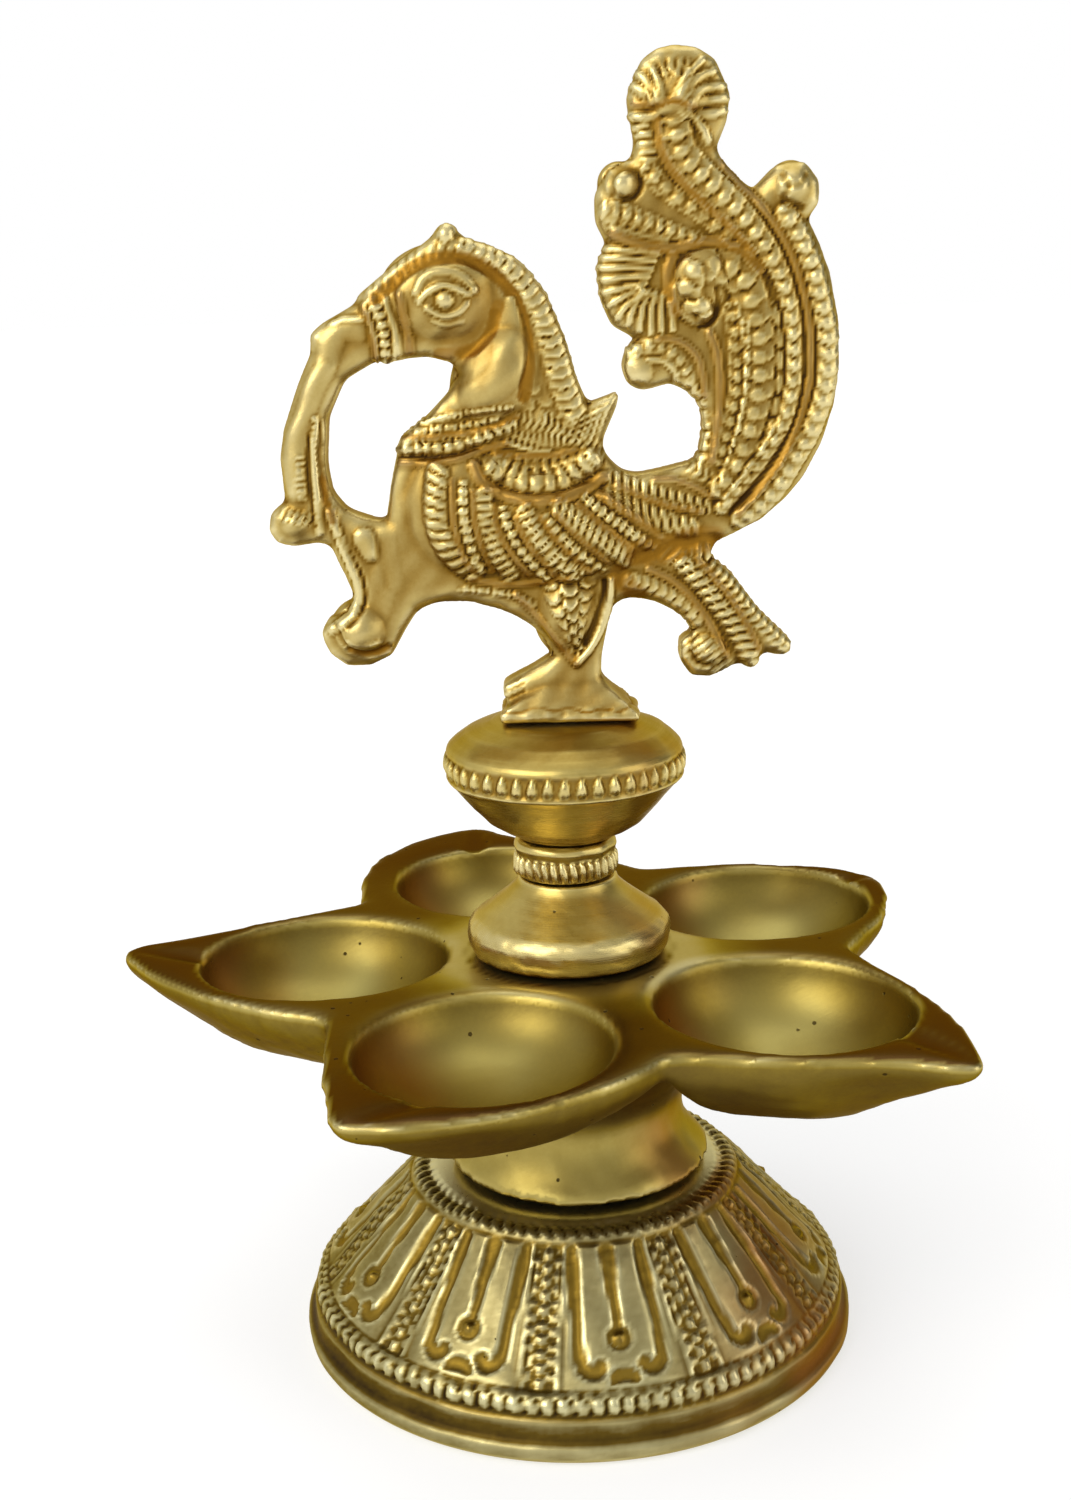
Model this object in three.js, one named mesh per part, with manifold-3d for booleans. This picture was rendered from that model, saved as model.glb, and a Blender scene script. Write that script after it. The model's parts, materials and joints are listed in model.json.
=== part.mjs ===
import * as THREE from 'three';
import { mergeVertices } from 'three/addons/utils/BufferGeometryUtils.js';
import Module from 'manifold-3d';

const wasm = await Module();
wasm.setup();

// Standing oil lamp in cast and turned brass. Millimetres, +Z up, cups level, bird facing -X.

// Fits between pieces
const seatGap = 0.3;            // left between two stacked pieces
const rodClearance = 0.3;       // radial room round the tie rod

// Base: hollow bell
const baseRimRadius = 42.5;
const baseRimHeight = 6;
const baseHeight = 26.4;
const baseShoulderRadius = 25.4; // where the panels end
const baseWall = 2.7;
const panelCount = 10;
const panelTurn = -98.6;        // degrees, the divider nearest the front
const troughHalfWidth = 0.95;   // ornament cut into the panels
const troughDepth = 0.55;
const stripHalfWidth = 2.1;     // sunk strip between two panels
const stripDepth = 0.4;
const beadRowRadius = 0.95;     // row of beads in the strip
// troughs of a panel: [degrees from its middle, share of the slope from the foot up]
const hookPath = [[10.8, 0.97], [10.2, 0.6], [9.6, 0.3], [8.4, 0.17], [5.2, 0.14], [3.8, 0.19]];
const stalkPath = [[-0.3, 0.97], [0, 0.46]];
const halfMoonPath = [[-2.6, 0.07], [-1.2, 0.1], [1.2, 0.1], [2.6, 0.07]];
const ballShare = 0.36;         // ball under the stalk, in a round recess
const ballRadius = 0.95;
const ballSunk = 0.2;
const ballRing = 1.65;

// Oil dish: cups round a collar
const cupTurn = 179.5;          // degrees, direction of the first cup
const dishHeight = 33.3;        // collar foot to cup rims
const cupReach = 37.1;          // lamp axis to bowl centre
const bowlLong = 18.7;
const bowlWide = 17.5;
const bowlDepth = 13;
const cupFloor = 1.8;           // metal under the bowl
const collarRadius = 19.4;
const collarWall = 2.6;
const hubThickness = 9;
const waistLevel = 7.6;         // collar foot to its narrow part
const waistIn = 3;              // how far the collar is drawn in there
const collarWaist = 13;         // collar foot to where it widens again
const flareFoot = 17.5;         // collar foot to where it starts to spread
const flareHead = 22;           // collar foot to where the cups' roots join it
const flareSpread = 5.6;        // how far the collar has spread by then
const hubSpread = 10.6;         // and at the rims
// The hull rises towards the spout.
const hullRise = 3.2;
const riseFrom = 8.4;           // bowl centre to where the rise starts
const riseTo = 20.7;            // and to where it is whole
const riseDepth = 6;            // depth under the rim from which it is whole
const tipRun = 8;               // towards the tip the rise falls off again
const tipFall = 0.6;
const grooveHalfWidth = 3;      // spout groove where it leaves the bowl
const grooveShare = 0.13;       // its depth there, as a share of the bowl's
const spoutLip = 0.5;           // depth of the groove at its tip

// Stem: three turned pieces
const footRadius = 15.4;
const footHeight = 11.8;
const ringRadius = 8.2;
const ringHeight = 5.7;
const ringOffset = -0.25;       // the ring sits off the axis
const ringBore = 4.8;
const knobRadius = 18.2;
const knobHeight = 17.6;
const knobTopRadius = 9.8;

// Tie rod, washer and nut
const rodRadius = 4;
const rodGrip = 12;             // length inside the knob
const rodBelow = 5;             // length below the nut
const washerRadius = 9;
const washerThickness = 1.5;
const nutAcrossFlats = 13;
const nutHeight = 6.5;

// Bird: flat casting
const birdThickness = 6.4;
const birdBevel = 1.1;
const bodyThickness = 11.6;
const headThickness = 10.6;
const padThickness = 10.4;
const padHeight = 2.4;

const boreRadius = rodRadius + rodClearance;
const dishBottom = baseHeight + seatGap;
const rimLevel = dishBottom + dishHeight;
const footBottom = rimLevel + seatGap;
const ringBottom = footBottom + footHeight + seatGap;
const knobBottom = ringBottom + ringHeight + seatGap;
const birdBottom = knobBottom + knobHeight + seatGap;

// Solid helpers

function solid(geometry) {
  const bare = geometry.clone();
  bare.deleteAttribute('normal');
  bare.deleteAttribute('uv');
  const merged = mergeVertices(bare, 1e-4);
  const made = new wasm.Manifold(new wasm.Mesh({
    numProp: 3,
    vertProperties: new Float32Array(merged.attributes.position.array),
    triVerts: new Uint32Array(merged.index.array),
  }));
  return made;
}

function geometryOf(made) {
  const mesh = made.getMesh();
  const geometry = new THREE.BufferGeometry();
  geometry.setAttribute('position', new THREE.BufferAttribute(mesh.vertProperties, 3));
  geometry.setIndex(new THREE.BufferAttribute(mesh.triVerts, 1));
  geometry.computeVertexNormals();
  return geometry;
}

// Turned shape about Z: the profile is [radius, height], outside going up, inside coming down.
function turned(profile, sides) {
  const points = profile.map(([r, z]) => new THREE.Vector2(r, z));
  if (profile[0][0] > 0) points.push(points[0].clone());
  return new THREE.LatheGeometry(points, sides).rotateX(Math.PI / 2);
}

// Outline in X and Z, given depth along Y and centred on it.
function plate(shape, depth, bevel) {
  const geometry = new THREE.ExtrudeGeometry(shape, {
    depth: depth - 2 * bevel,
    bevelEnabled: bevel > 0,
    bevelThickness: bevel,
    bevelSize: bevel,
    bevelOffset: -bevel,
    bevelSegments: 1,
    curveSegments: 6,
  });
  return geometry.translate(0, 0, bevel - depth / 2).rotateX(Math.PI / 2);
}

// Closed skin over rings of equal count, each anticlockwise from above, listed from the top down.
function loft(rings) {
  const count = rings[0].length;
  const positions = [];
  const index = [];
  for (const ring of rings) {
    for (const p of ring) positions.push(p.x, p.y, p.z);
  }
  for (let j = 0; j < rings.length - 1; j++) {
    for (let i = 0; i < count; i++) {
      const a = j * count + i;
      const b = j * count + (i + 1) % count;
      index.push(a, a + count, b, b, a + count, b + count);
    }
  }
  const caps = [[rings[0], 0, 1], [rings[rings.length - 1], (rings.length - 1) * count, -1]];
  for (const [ring, start, side] of caps) {
    const middle = new THREE.Vector3();
    for (const p of ring) middle.addScaledVector(p, 1 / count);
    const m = positions.length / 3;
    positions.push(middle.x, middle.y, middle.z);
    for (let i = 0; i < count; i++) {
      const a = start + i;
      const b = start + (i + 1) % count;
      if (side > 0) index.push(m, a, b);
      else index.push(m, b, a);
    }
  }
  const geometry = new THREE.BufferGeometry();
  geometry.setAttribute('position', new THREE.BufferAttribute(new Float32Array(positions), 3));
  geometry.setIndex(index);
  return geometry;
}

function ellipsoid(x, y, z, rx, ry, rz, around = 14, up = 9) {
  return new THREE.SphereGeometry(1, around, up).scale(rx, ry, rz).translate(x, y, z);
}

function atAngle(radius, degrees, z) {
  const t = THREE.MathUtils.degToRad(degrees);
  return new THREE.Vector3(radius * Math.cos(t), radius * Math.sin(t), z);
}

// Base

const panelFoot = baseRimHeight + 3.4;
const panelHead = baseHeight - 2.2;
const panelFootRadius = baseRimRadius - 3.5;

// Point on the bell's panels: share 0 at the lower bead ring, 1 at the upper one.
function onBell(degrees, share, above = 0) {
  const run = panelFootRadius - baseShoulderRadius;
  const rise = panelHead - panelFoot;
  const slant = Math.hypot(run, rise);
  const radius = THREE.MathUtils.lerp(panelFootRadius, baseShoulderRadius, share);
  const level = THREE.MathUtils.lerp(panelFoot, panelHead, share);
  return atAngle(radius + above * rise / slant, degrees, level + above * run / slant);
}

function sphere(at, radius, around, down) {
  return ellipsoid(at.x, at.y, at.z, radius, radius, radius, around, down);
}

// Radius of a round tool that cuts a groove of this half width and depth
function toolRadius(half, depth) {
  return (half * half + depth * depth) / (2 * depth);
}

function rod(points, radius, steps) {
  const path = new THREE.CatmullRomCurve3(points);
  const section = new THREE.Shape();
  section.absarc(0, 0, radius, 0, Math.PI * 2);
  return new THREE.ExtrudeGeometry(section, {
    extrudePath: path,
    steps,
    curveSegments: 3,
    bevelEnabled: false,
  });
}

function trough(turnsAndShares, middle, steps) {
  const radius = toolRadius(troughHalfWidth, troughDepth);
  const above = radius - troughDepth;
  const points = turnsAndShares.map(([turn, share]) => onBell(middle + turn, share, above));
  return solid(rod(points, radius, steps));
}

// Box along the slope, cut away as the strip between two panels
function strip(degrees) {
  return solid(loft([0.99, 0.01].map((share) => {
    const side = THREE.MathUtils.radToDeg(stripHalfWidth / onBell(0, share).x);
    return [
      onBell(degrees - side, share, -stripDepth), onBell(degrees - side, share, 1),
      onBell(degrees + side, share, 1), onBell(degrees + side, share, -stripDepth),
    ];
  })));
}

function makeBase() {
  const r = baseRimRadius;
  const h = baseRimHeight;
  const bell = turned([
    [r - 1.9, 0],
    [r - 0.4, 1],
    [r, 2.6],
    [r, h - 1.8],
    [r - 0.6, h],
    [r - 2.1, h + 0.6],
    [r - 1.5, h + 1.6],
    [r - 1.9, h + 2.8],
    [panelFootRadius, panelFoot],
    [baseShoulderRadius, panelHead],
    [baseShoulderRadius - 0.2, panelHead + 1],
    [baseShoulderRadius - 1.2, panelHead + 1.8],
    [baseShoulderRadius - 2.7, panelHead + 1.6],
    [baseShoulderRadius - 2.9, baseHeight],
    [boreRadius, baseHeight],
    [boreRadius, baseHeight - baseWall - 1.1],
    [baseShoulderRadius - 4, baseHeight - baseWall - 1.1],
    [baseShoulderRadius - 1.4, panelHead - baseWall],
    [panelFootRadius - baseWall, panelFoot],
    [r - baseWall - 1.6, h - 1],
    [r - baseWall - 1.6, 0],
  ], 40);
  let made = solid(bell);
  const step = 360 / panelCount;
  const ringTool = toolRadius(ballRing, troughDepth);
  for (let k = 0; k < panelCount; k++) {
    const start = panelTurn + k * step;
    const middle = start + step / 2;
    made = made.subtract(strip(start));
    const row = [0.03, 0.97].map((share) => onBell(start, share, 0.1 - beadRowRadius));
    made = made.add(solid(rod(row, beadRowRadius, 1)));
    // two hooked troughs, a middle one that ends over a ball, and a half moon under it
    for (const side of [-1, 1]) {
      made = made.subtract(trough(hookPath.map(([turn, share]) => [side * turn, share]), middle, 6));
    }
    made = made.subtract(trough(stalkPath, middle, 1));
    made = made.subtract(trough(halfMoonPath, middle, 3));
    const ring = onBell(middle, ballShare, ringTool - troughDepth);
    const ball = onBell(middle, ballShare, -ballSunk);
    made = made.subtract(solid(sphere(ring, ringTool, 12, 8)));
    made = made.add(solid(sphere(ball, ballRadius, 6, 5)));
  }
  return geometryOf(made);
}

// Oil dish

// Rim outlines, [out, aside] from the lamp axis. Each cup was cut by hand: a straight side and
// a full side meet in a spout that points a little clockwise of the bowl. Some are deeper.
const notch = [33.4, 25];
const cups = [
  {
    spout: [69.3, -5.4],
    full: [[62.6, 6], [54, 14], [44, 20.2]],
    straight: [[50, -16.4], [62, -9.6]],
    deeper: 0,
  },
  {
    spout: [65.4, -8.6],
    full: [[61.6, 2.4], [55.6, 10.8], [44.4, 20]],
    straight: [[50, -18], [60.5, -12.8]],
    deeper: -1.6,
  },
  {
    spout: [69.4, -5.2],
    full: [[61, 7], [52.5, 14], [42.5, 19.6]],
    straight: [[49, -16.4], [62, -9]],
    deeper: 0.8,
  },
  {
    spout: [62.2, -2.6],
    full: [[58.4, 7.6], [50.6, 15.4], [42, 20.8]],
    straight: [[48, -18], [56.6, -11.4]],
    deeper: 0,
  },
  {
    spout: [70.4, -4],
    full: [[65.2, 9.4], [55.4, 18.4], [45, 22.6]],
    straight: [[50, -16.4], [62, -9.6]],
    deeper: 0,
  },
];
const innerEdge = [[23, 17.2], [13, 10], [13, -10], [23, -17.2]];

function cupOutline(cup) {
  const plan = ([x, y]) => new THREE.Vector2(x, y);
  const [x, y] = cup.spout;
  const full = new THREE.SplineCurve([cup.spout, [x - 0.8, y + 2.6], ...cup.full, notch].map(plan));
  const straight = [[notch[0], -notch[1]], ...cup.straight, [x - 1.2, y - 1.8]];
  return [...full.getPoints(9), ...innerEdge.map(plan), ...straight.map(plan)];
}

// Hull of a cup: [share of the rim outline, share of the depth].
const hullSections = [
  [1, 0],
  [1, 0.16],
  [0.95, 0.31],
  [0.85, 0.48],
  [0.7, 0.68],
  [0.47, 0.87],
  [0.2, 1],
];

function riseAt(x, down, tip) {
  const { smoothstep } = THREE.MathUtils;
  const grown = smoothstep(x, cupReach + riseFrom, cupReach + riseTo);
  const fall = 1 - tipFall * smoothstep(x, tip - tipRun, tip);
  return hullRise * grown * fall * Math.min(1, down / riseDepth);
}

function cupHull(cup) {
  const depth = bowlDepth + cup.deeper + cupFloor;
  const outline = cupOutline(cup);
  const rings = hullSections.map(([share, down]) => outline.map((p) => {
    const x = cupReach + (p.x - cupReach) * share;
    const rise = riseAt(x, depth * down, cup.spout[0]);
    return new THREE.Vector3(x, p.y * share, rimLevel - depth * down + rise);
  }));
  return solid(loft(rings));
}

function cupHollow(cup) {
  const depth = bowlDepth + cup.deeper;
  const bowl = ellipsoid(cupReach, 0, rimLevel, bowlLong, bowlWide, depth, 24, 12);
  // spout groove: a V that rises and narrows from the bowl to the tip
  const wide = grooveHalfWidth;
  const deep = depth * grooveShare;
  const lip = spoutLip;
  const inner = cupReach + bowlLong * 0.7;
  const above = rimLevel + 2;
  const end = cup.spout[0] + 1;
  const aside = cup.spout[1];
  const corner = (x, y, z) => new THREE.Vector3(x, y, z);
  const groove = loft([
    [
      corner(inner, -wide, above),
      corner(end, aside - 1.2, above),
      corner(end, aside + 1.2, above),
      corner(inner, wide, above),
    ],
    [
      corner(inner, -0.6, rimLevel - deep),
      corner(end, aside - 0.2, rimLevel - lip),
      corner(end, aside + 0.2, rimLevel - lip),
      corner(inner, 0.6, rimLevel - deep),
    ],
  ]);
  return solid(bowl).add(solid(groove));
}

function makeDish() {
  const hub = turned([
    [collarRadius + 0.2, dishBottom],
    [collarRadius, dishBottom + 1],
    [collarRadius - waistIn * 0.6, dishBottom + waistLevel * 0.5],
    [collarRadius - waistIn, dishBottom + waistLevel],
    [collarRadius - waistIn * 0.8, dishBottom + collarWaist],
    [collarRadius + 1.6, dishBottom + flareFoot],
    [collarRadius + flareSpread, dishBottom + flareHead],
    [collarRadius + hubSpread, rimLevel - 3],
    [collarRadius + hubSpread, rimLevel],
    [boreRadius, rimLevel],
    [boreRadius, rimLevel - hubThickness],
    [collarRadius - waistIn - collarWall - 1.7, rimLevel - hubThickness - 0.6],
    [collarRadius - waistIn - collarWall, rimLevel - hubThickness - 4],
    [collarRadius - waistIn - collarWall, dishBottom + waistLevel],
    [collarRadius - collarWall, dishBottom],
  ], 32);
  let made = solid(hub);
  const turnOf = (k) => cupTurn + k * 360 / cups.length;
  cups.forEach((cup, k) => {
    made = made.add(cupHull(cup).rotate([0, 0, turnOf(k)]));
  });
  cups.forEach((cup, k) => {
    made = made.subtract(cupHollow(cup).rotate([0, 0, turnOf(k)]));
  });
  return geometryOf(made);
}

// Stem

function makeFoot() {
  const r = footRadius;
  const z = footBottom;
  const top = footBottom + footHeight;
  return turned([
    [r - 0.9, z],
    [r, top - 6.2],
    [r - 0.5, top - 5.3],
    [r - 2.6, top - 3.6],
    [r - 5.4, top - 1.6],
    [ringRadius - 1, top],
    [boreRadius, top],
    [boreRadius, z],
  ], 36);
}

function makeRing() {
  const r = ringRadius;
  const z = ringBottom;
  return turned([
    [r - 1.4, z],
    [r - 0.4, z + 0.5],
    [r, z + ringHeight / 2],
    [r - 0.4, z + ringHeight - 0.5],
    [r - 1.4, z + ringHeight],
    [ringBore, z + ringHeight],
    [ringBore, z],
  ], 30).translate(ringOffset, 0, 0);
}

function makeKnob() {
  const r = knobRadius;
  const z = knobBottom;
  const top = knobBottom + knobHeight;
  return turned([
    [boreRadius, z],
    [ringRadius - 0.6, z],
    [ringRadius + 3.2, z + 2.4],
    [r - 1, top - 8.6],
    [r - 0.2, top - 7.9],
    [r, top - 6.2],
    [r - 0.3, top - 4.6],
    [r - 1.1, top - 3.6],
    [r - 3.6, top - 1.3],
    [knobTopRadius + 1.4, top - 0.2],
    [knobTopRadius, top],
    [0, top],
    [0, z + rodGrip + seatGap],
    [boreRadius, z + rodGrip + seatGap],
  ], 40);
}

// Tie rod, washer and nut

const washerTop = baseHeight - baseWall - 1.1 - seatGap;
const nutTop = washerTop - washerThickness - seatGap;
const rodBottom = nutTop - nutHeight - rodBelow;
const rodTop = knobBottom + rodGrip;

function makeRod() {
  const r = rodRadius;
  const tip = 0.8;
  return turned([
    [0, rodBottom],
    [r - tip, rodBottom],
    [r, rodBottom + tip],
    [r, rodTop - tip],
    [r - tip, rodTop],
    [0, rodTop],
  ], 24);
}

function makeWasher() {
  return turned([
    [washerRadius, washerTop - washerThickness],
    [washerRadius, washerTop],
    [boreRadius, washerTop],
    [boreRadius, washerTop - washerThickness],
  ], 28);
}

function makeNut() {
  const hexagon = new THREE.Shape();
  const corner = nutAcrossFlats / Math.sqrt(3);
  for (let k = 0; k < 6; k++) {
    const p = atAngle(corner, k * 60, 0);
    if (k === 0) hexagon.moveTo(p.x, p.y);
    else hexagon.lineTo(p.x, p.y);
  }
  hexagon.closePath();
  const hole = new THREE.Path();
  hole.absarc(0, 0, boreRadius, 0, Math.PI * 2, true);
  hexagon.holes.push(hole);
  const geometry = new THREE.ExtrudeGeometry(hexagon, {
    depth: nutHeight,
    bevelEnabled: false,
    curveSegments: 10,
  });
  return geometry.translate(0, 0, nutTop - nutHeight);
}

// Bird: outline in X and Z from the middle of its foot pad

const crestAndMane = [
  [-21, 65], [-16.5, 68], [-15.5, 69.5], [-14.5, 70], [-13, 69], [-12.5, 68], [-7, 66],
  [-4.5, 64.5], [-1, 60], [1.5, 54], [3, 48.5], [4.5, 45], [6, 45.5], [9, 46.5], [8.5, 44.5],
  [6.5, 40],
];
const backAndCurl = [
  [6.5, 38.5], [7.5, 37], [9, 35.5], [11.5, 35], [14.5, 35.5], [19, 36.5], [20, 37.5],
  [20.5, 40.5], [20.5, 43.5], [19, 46], [16, 47.5], [12, 46.5], [10, 47.5], [9.2, 50],
  [10, 52.5], [11.5, 53.5],
];
const shellAndFan = [
  [8, 55.5], [6.5, 59], [6, 63.5], [7.5, 66.5], [6, 69.5], [6, 73], [8, 76], [11, 77.5],
  [11.5, 79.5], [10.5, 85.5], [12.5, 90], [14.5, 91.5], [17, 92], [20, 91.5], [22.5, 90],
  [24.5, 85.5], [24, 82], [22.5, 78.5], [24, 76], [27.5, 73],
];
const plumeEdge = [
  [29, 74.5], [30.5, 76], [32.5, 76.5], [34.5, 76.5], [36.5, 74], [36.5, 71], [35, 69],
  [36.5, 66], [38, 62], [39.3, 55.5], [39.5, 49.5], [38.8, 44], [37, 38.5], [34.5, 34], [32, 31],
  [28.5, 28], [22, 25],
];
const fronds = [
  [21.3, 23], [24.5, 20.5], [28.5, 15], [33, 10.5], [33, 9], [31.5, 8.5], [29, 9], [27.5, 7],
  [25, 7.5], [21.5, 5.7], [18.5, 6], [16.8, 8.5], [17, 11], [19, 12.5], [17, 15], [13, 17],
  [9.5, 17.5], [7.5, 16.5],
];
const legAndPad = [
  [6.8, 14], [5.7, 9], [5.6, 6], [7.5, 4], [9.5, 2.2], [11, 0], [-9, 0], [-7.8, 2.4],
  [-8.8, 4.2], [-8.5, 5.5], [-4.5, 7.5], [-1.2, 9.5], [-2.5, 12],
];
const breast = [
  [-4.5, 14], [-8, 16], [-13, 17.5], [-17.5, 17.5], [-20.5, 16.5], [-22.5, 13.5], [-24.5, 10],
  [-27.5, 8.5], [-31, 8.5], [-33.5, 10.5], [-34.6, 13.5], [-33.5, 15.5], [-30.5, 16.5],
  [-29.6, 19],
];
const beak = [
  [-31, 22.5], [-32.5, 26], [-34, 26.5], [-37.5, 26], [-40, 26.5], [-41.2, 28.5], [-40.7, 31],
  [-38.6, 32.5], [-39, 38.5], [-38.3, 42.5], [-36, 48.5], [-33.8, 53], [-33.8, 55.5], [-32, 57],
  [-27.2, 59.5], [-27, 60.5],
];
const throatGap = [
  [-25, 51.5], [-29.5, 49], [-32, 44], [-32.6, 37.5], [-32, 33.5], [-30, 31], [-26, 29.5],
  [-24.4, 29.5], [-23.5, 34.5], [-22, 41], [-18.5, 43.5], [-15, 47], [-13.5, 49.5], [-14, 51],
  [-17.5, 52],
];

// Swelling parts: [x, z, half width, half height, thickness, tilt]
const swells = [
  [-15.3, 60, 9, 7.4, headThickness, 0],
  [-8, 49, 6.4, 8.6, headThickness, -25],
  [-14, 31, 9, 11, bodyThickness, 10],
  [-1, 27.5, 17.5, 9, bodyThickness, -6],
  [1, 16, 5.2, 7.5, bodyThickness * 0.85, 0],
  [-28.8, 13.6, 4.6, 4.6, headThickness, 0],
  [-37.3, 29.4, 3.2, 3, headThickness * 0.8, 0],
  [32.8, 73.3, 3.5, 3.5, headThickness * 0.85, 0],
  [20.4, 61, 4.8, 6.2, headThickness * 0.85, 15],
  [17.5, 86, 6, 5.4, headThickness * 0.85, 0],
  [9.4, 74.3, 3, 3, headThickness * 0.85, 0],
  [21, 9.8, 3.6, 3.2, headThickness * 0.8, 0],
];

// Chased bands that stand proud of both faces: [lift, half width at the start, at the end, points]
const headBands = [
  [0.6, 1.5, 1.7, [[-12, 66.9], [-6.4, 64.3], [-1.9, 58.8], [0.4, 51.4], [2.4, 44.6]]],
  [0.6, 1, 1.6, [[8, 46], [5.4, 42.4], [1.8, 41.4], [-3, 41.2]]],
  [0.5, 1.9, 2, [[-23.6, 60.4], [-22.7, 57], [-22.6, 52.6]]],
  [0.5, 0.5, 0.5, [[-19, 60.4], [-16.6, 62.9], [-13.2, 63.2], [-10.4, 60.8]]],
  [0.5, 0.7, 0.7, [[-32, 31.4], [-30.2, 25.2], [-28.7, 20], [-31, 15.6]]],
];
const necklaces = [
  [0.7, 1.1, 1.1, [[-21.2, 39.9], [-13, 40.5], [-6.4, 42.8]]],
  [0.5, 1, 0.9, [[-20.2, 42.6], [-13, 43.4], [-7.2, 44.8]]],
];
const wingBands = [
  [0.8, 1.6, 1.2, [[-16.8, 36], [-17.2, 30], [-14.8, 24.6], [-12.4, 22.6]]],
  [0.7, 1.3, 1.1, [[-10.4, 33.4], [-9.6, 27.4], [-7.2, 22]]],
  [0.7, 1.3, 1.1, [[-4.6, 30.9], [-1.8, 25.8], [2, 21.8]]],
  [0.7, 1.4, 1.2, [[0.4, 31], [5, 27.4], [9, 24]]],
  [0.7, 1.6, 1.4, [[7.8, 32.4], [14.6, 29], [18.6, 27.7]]],
  [0.5, 1, 1, [[8, 34.9], [15.4, 32.2], [20.4, 30.7]]],
  [1, 1.8, 1.6, [[-9.4, 37.2], [-6, 35.5], [-0.4, 35.1], [4.8, 37.6]]],
  [0.8, 0.6, 0.6, [[7.2, 20.4], [5.9, 14.4], [2.6, 9.2]]],
];
const plumeBands = [
  [0.9, 2, 1.8, [[16.9, 81.4], [19.5, 76.2], [25.7, 70], [29.3, 65.4]]],
  [0.9, 1.7, 1.1, [[29, 65.8], [31.9, 59.8], [33, 50.8], [31.8, 42.8], [27.9, 36.2], [23.4, 30.8]]],
  [0.9, 1.3, 1.2, [[32, 69.8], [35.6, 62.4], [37.6, 53.4], [36.8, 44.6], [33, 36.8], [26, 29]]],
  [0.9, 1.7, 1.9, [[19.9, 57.6], [18.4, 60.6], [21.6, 63.5], [26, 61.2], [27.8, 55.4]]],
  [0.9, 1.9, 1.2, [[27.7, 56], [28.2, 48.6], [26.4, 39.8], [22.8, 33.2]]],
  [0.6, 1.1, 1, [[24.4, 57.4], [25.2, 48.8], [22.9, 37.6]]],
  [0.6, 1.1, 1.1, [[13.4, 76], [19.2, 71.2], [24.4, 67.2]]],
  [0.7, 1.4, 0.8, [[8, 71], [13, 69.4], [19.6, 67.2]]],
  [0.5, 0.8, 0.8, [[8.8, 67.8], [16, 66], [23.4, 66.3], [28.2, 63]]],
  [0.5, 0.9, 0.9, [[10.8, 52.4], [15.2, 52.4], [18.4, 47.6]]],
  [0.6, 0.6, 0.6, [[11, 83.4], [16.6, 84.2], [21.2, 80.2]]],
];
const frondBands = [
  [0.6, 1.3, 1.2, [[10, 20.4], [15, 18.4], [18.8, 14.8]]],
  [0.8, 1.4, 1.2, [[17.8, 22.2], [22.9, 16], [26.6, 9.6]]],
  [0.6, 1.4, 1.1, [[21.2, 22.6], [27.2, 15.6], [31.6, 10.6]]],
];
// Ribs that spread from a point, angles in degrees from +X towards +Z
const fans = [
  { centre: [16.6, 84], inner: 2.2, outer: 6.4, from: -4, to: 184, count: 7 },
  { centre: [14.6, 61.4], inner: 2.2, outer: 7, from: 148, to: 272, count: 6 },
];
const fanRib = 0.6;             // half width and lift of one rib
const bandRun = 7;              // length of a band's straight runs
const bandFoot = 0.3;           // how deep a band's sides start
const narrowBand = 0.9;         // half width up to which a band has one ridge and no flat
const bandFlat = 0.45;          // a wider band's flat, as a share of its half width
const eyeRadius = 1.5;

function pathThrough(path, points) {
  points.forEach(([x, z], i) => {
    if (i === 0) path.moveTo(x, z);
    else path.lineTo(x, z);
  });
  path.closePath();
  return path;
}

// Half thickness of the casting at a place on its face, without the bands
function faceDepth(x, z) {
  let depth = birdThickness / 2;
  for (const [middle, level, wide, high, thick, tilt] of swells) {
    const t = THREE.MathUtils.degToRad(tilt);
    const u = ((x - middle) * Math.cos(t) + (z - level) * Math.sin(t)) / wide;
    const v = ((z - level) * Math.cos(t) - (x - middle) * Math.sin(t)) / high;
    const rest = 1 - u * u - v * v;
    if (rest > 0) depth = Math.max(depth, thick / 2 * Math.sqrt(rest));
  }
  return depth;
}

// A band goes right through the casting and stands out by its lift on both faces.
function chasedBand(lift, startHalf, endHalf, points) {
  const path = new THREE.CatmullRomCurve3(points.map(([x, z]) => new THREE.Vector3(x, 0, z)));
  const runs = Math.max(1, Math.round(path.getLength() / bandRun));
  const wideBand = Math.max(startHalf, endHalf) > narrowBand;
  const rings = [];
  for (let i = runs; i >= 0; i--) {
    const p = path.getPointAt(i / runs);
    const ahead = path.getTangentAt(i / runs);
    const half = THREE.MathUtils.lerp(startHalf, endHalf, i / runs);
    const depth = faceDepth(p.x, p.z);
    const foot = depth - bandFoot;
    const top = depth + lift;
    const flat = half * bandFlat;
    const section = wideBand
      ? [[half, -foot], [half, foot], [flat, top], [-flat, top],
        [-half, foot], [-half, -foot], [-flat, -top], [flat, -top]]
      : [[half, -foot], [half, foot], [0, top], [-half, foot], [-half, -foot], [0, -top]];
    rings.push(section.map(([a, y]) => new THREE.Vector3(p.x + a * ahead.z, y, p.z - a * ahead.x)));
  }
  return loft(rings);
}

function fanRibs({ centre, inner, outer, from, to, count }) {
  const out = [];
  for (let k = 0; k < count; k++) {
    const t = THREE.MathUtils.degToRad(THREE.MathUtils.lerp(from, to, k / (count - 1)));
    const at = (r) => [centre[0] + r * Math.cos(t), centre[1] + r * Math.sin(t)];
    out.push([fanRib, fanRib * 0.8, fanRib, [at(inner), at(outer)]]);
  }
  return out;
}

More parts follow.
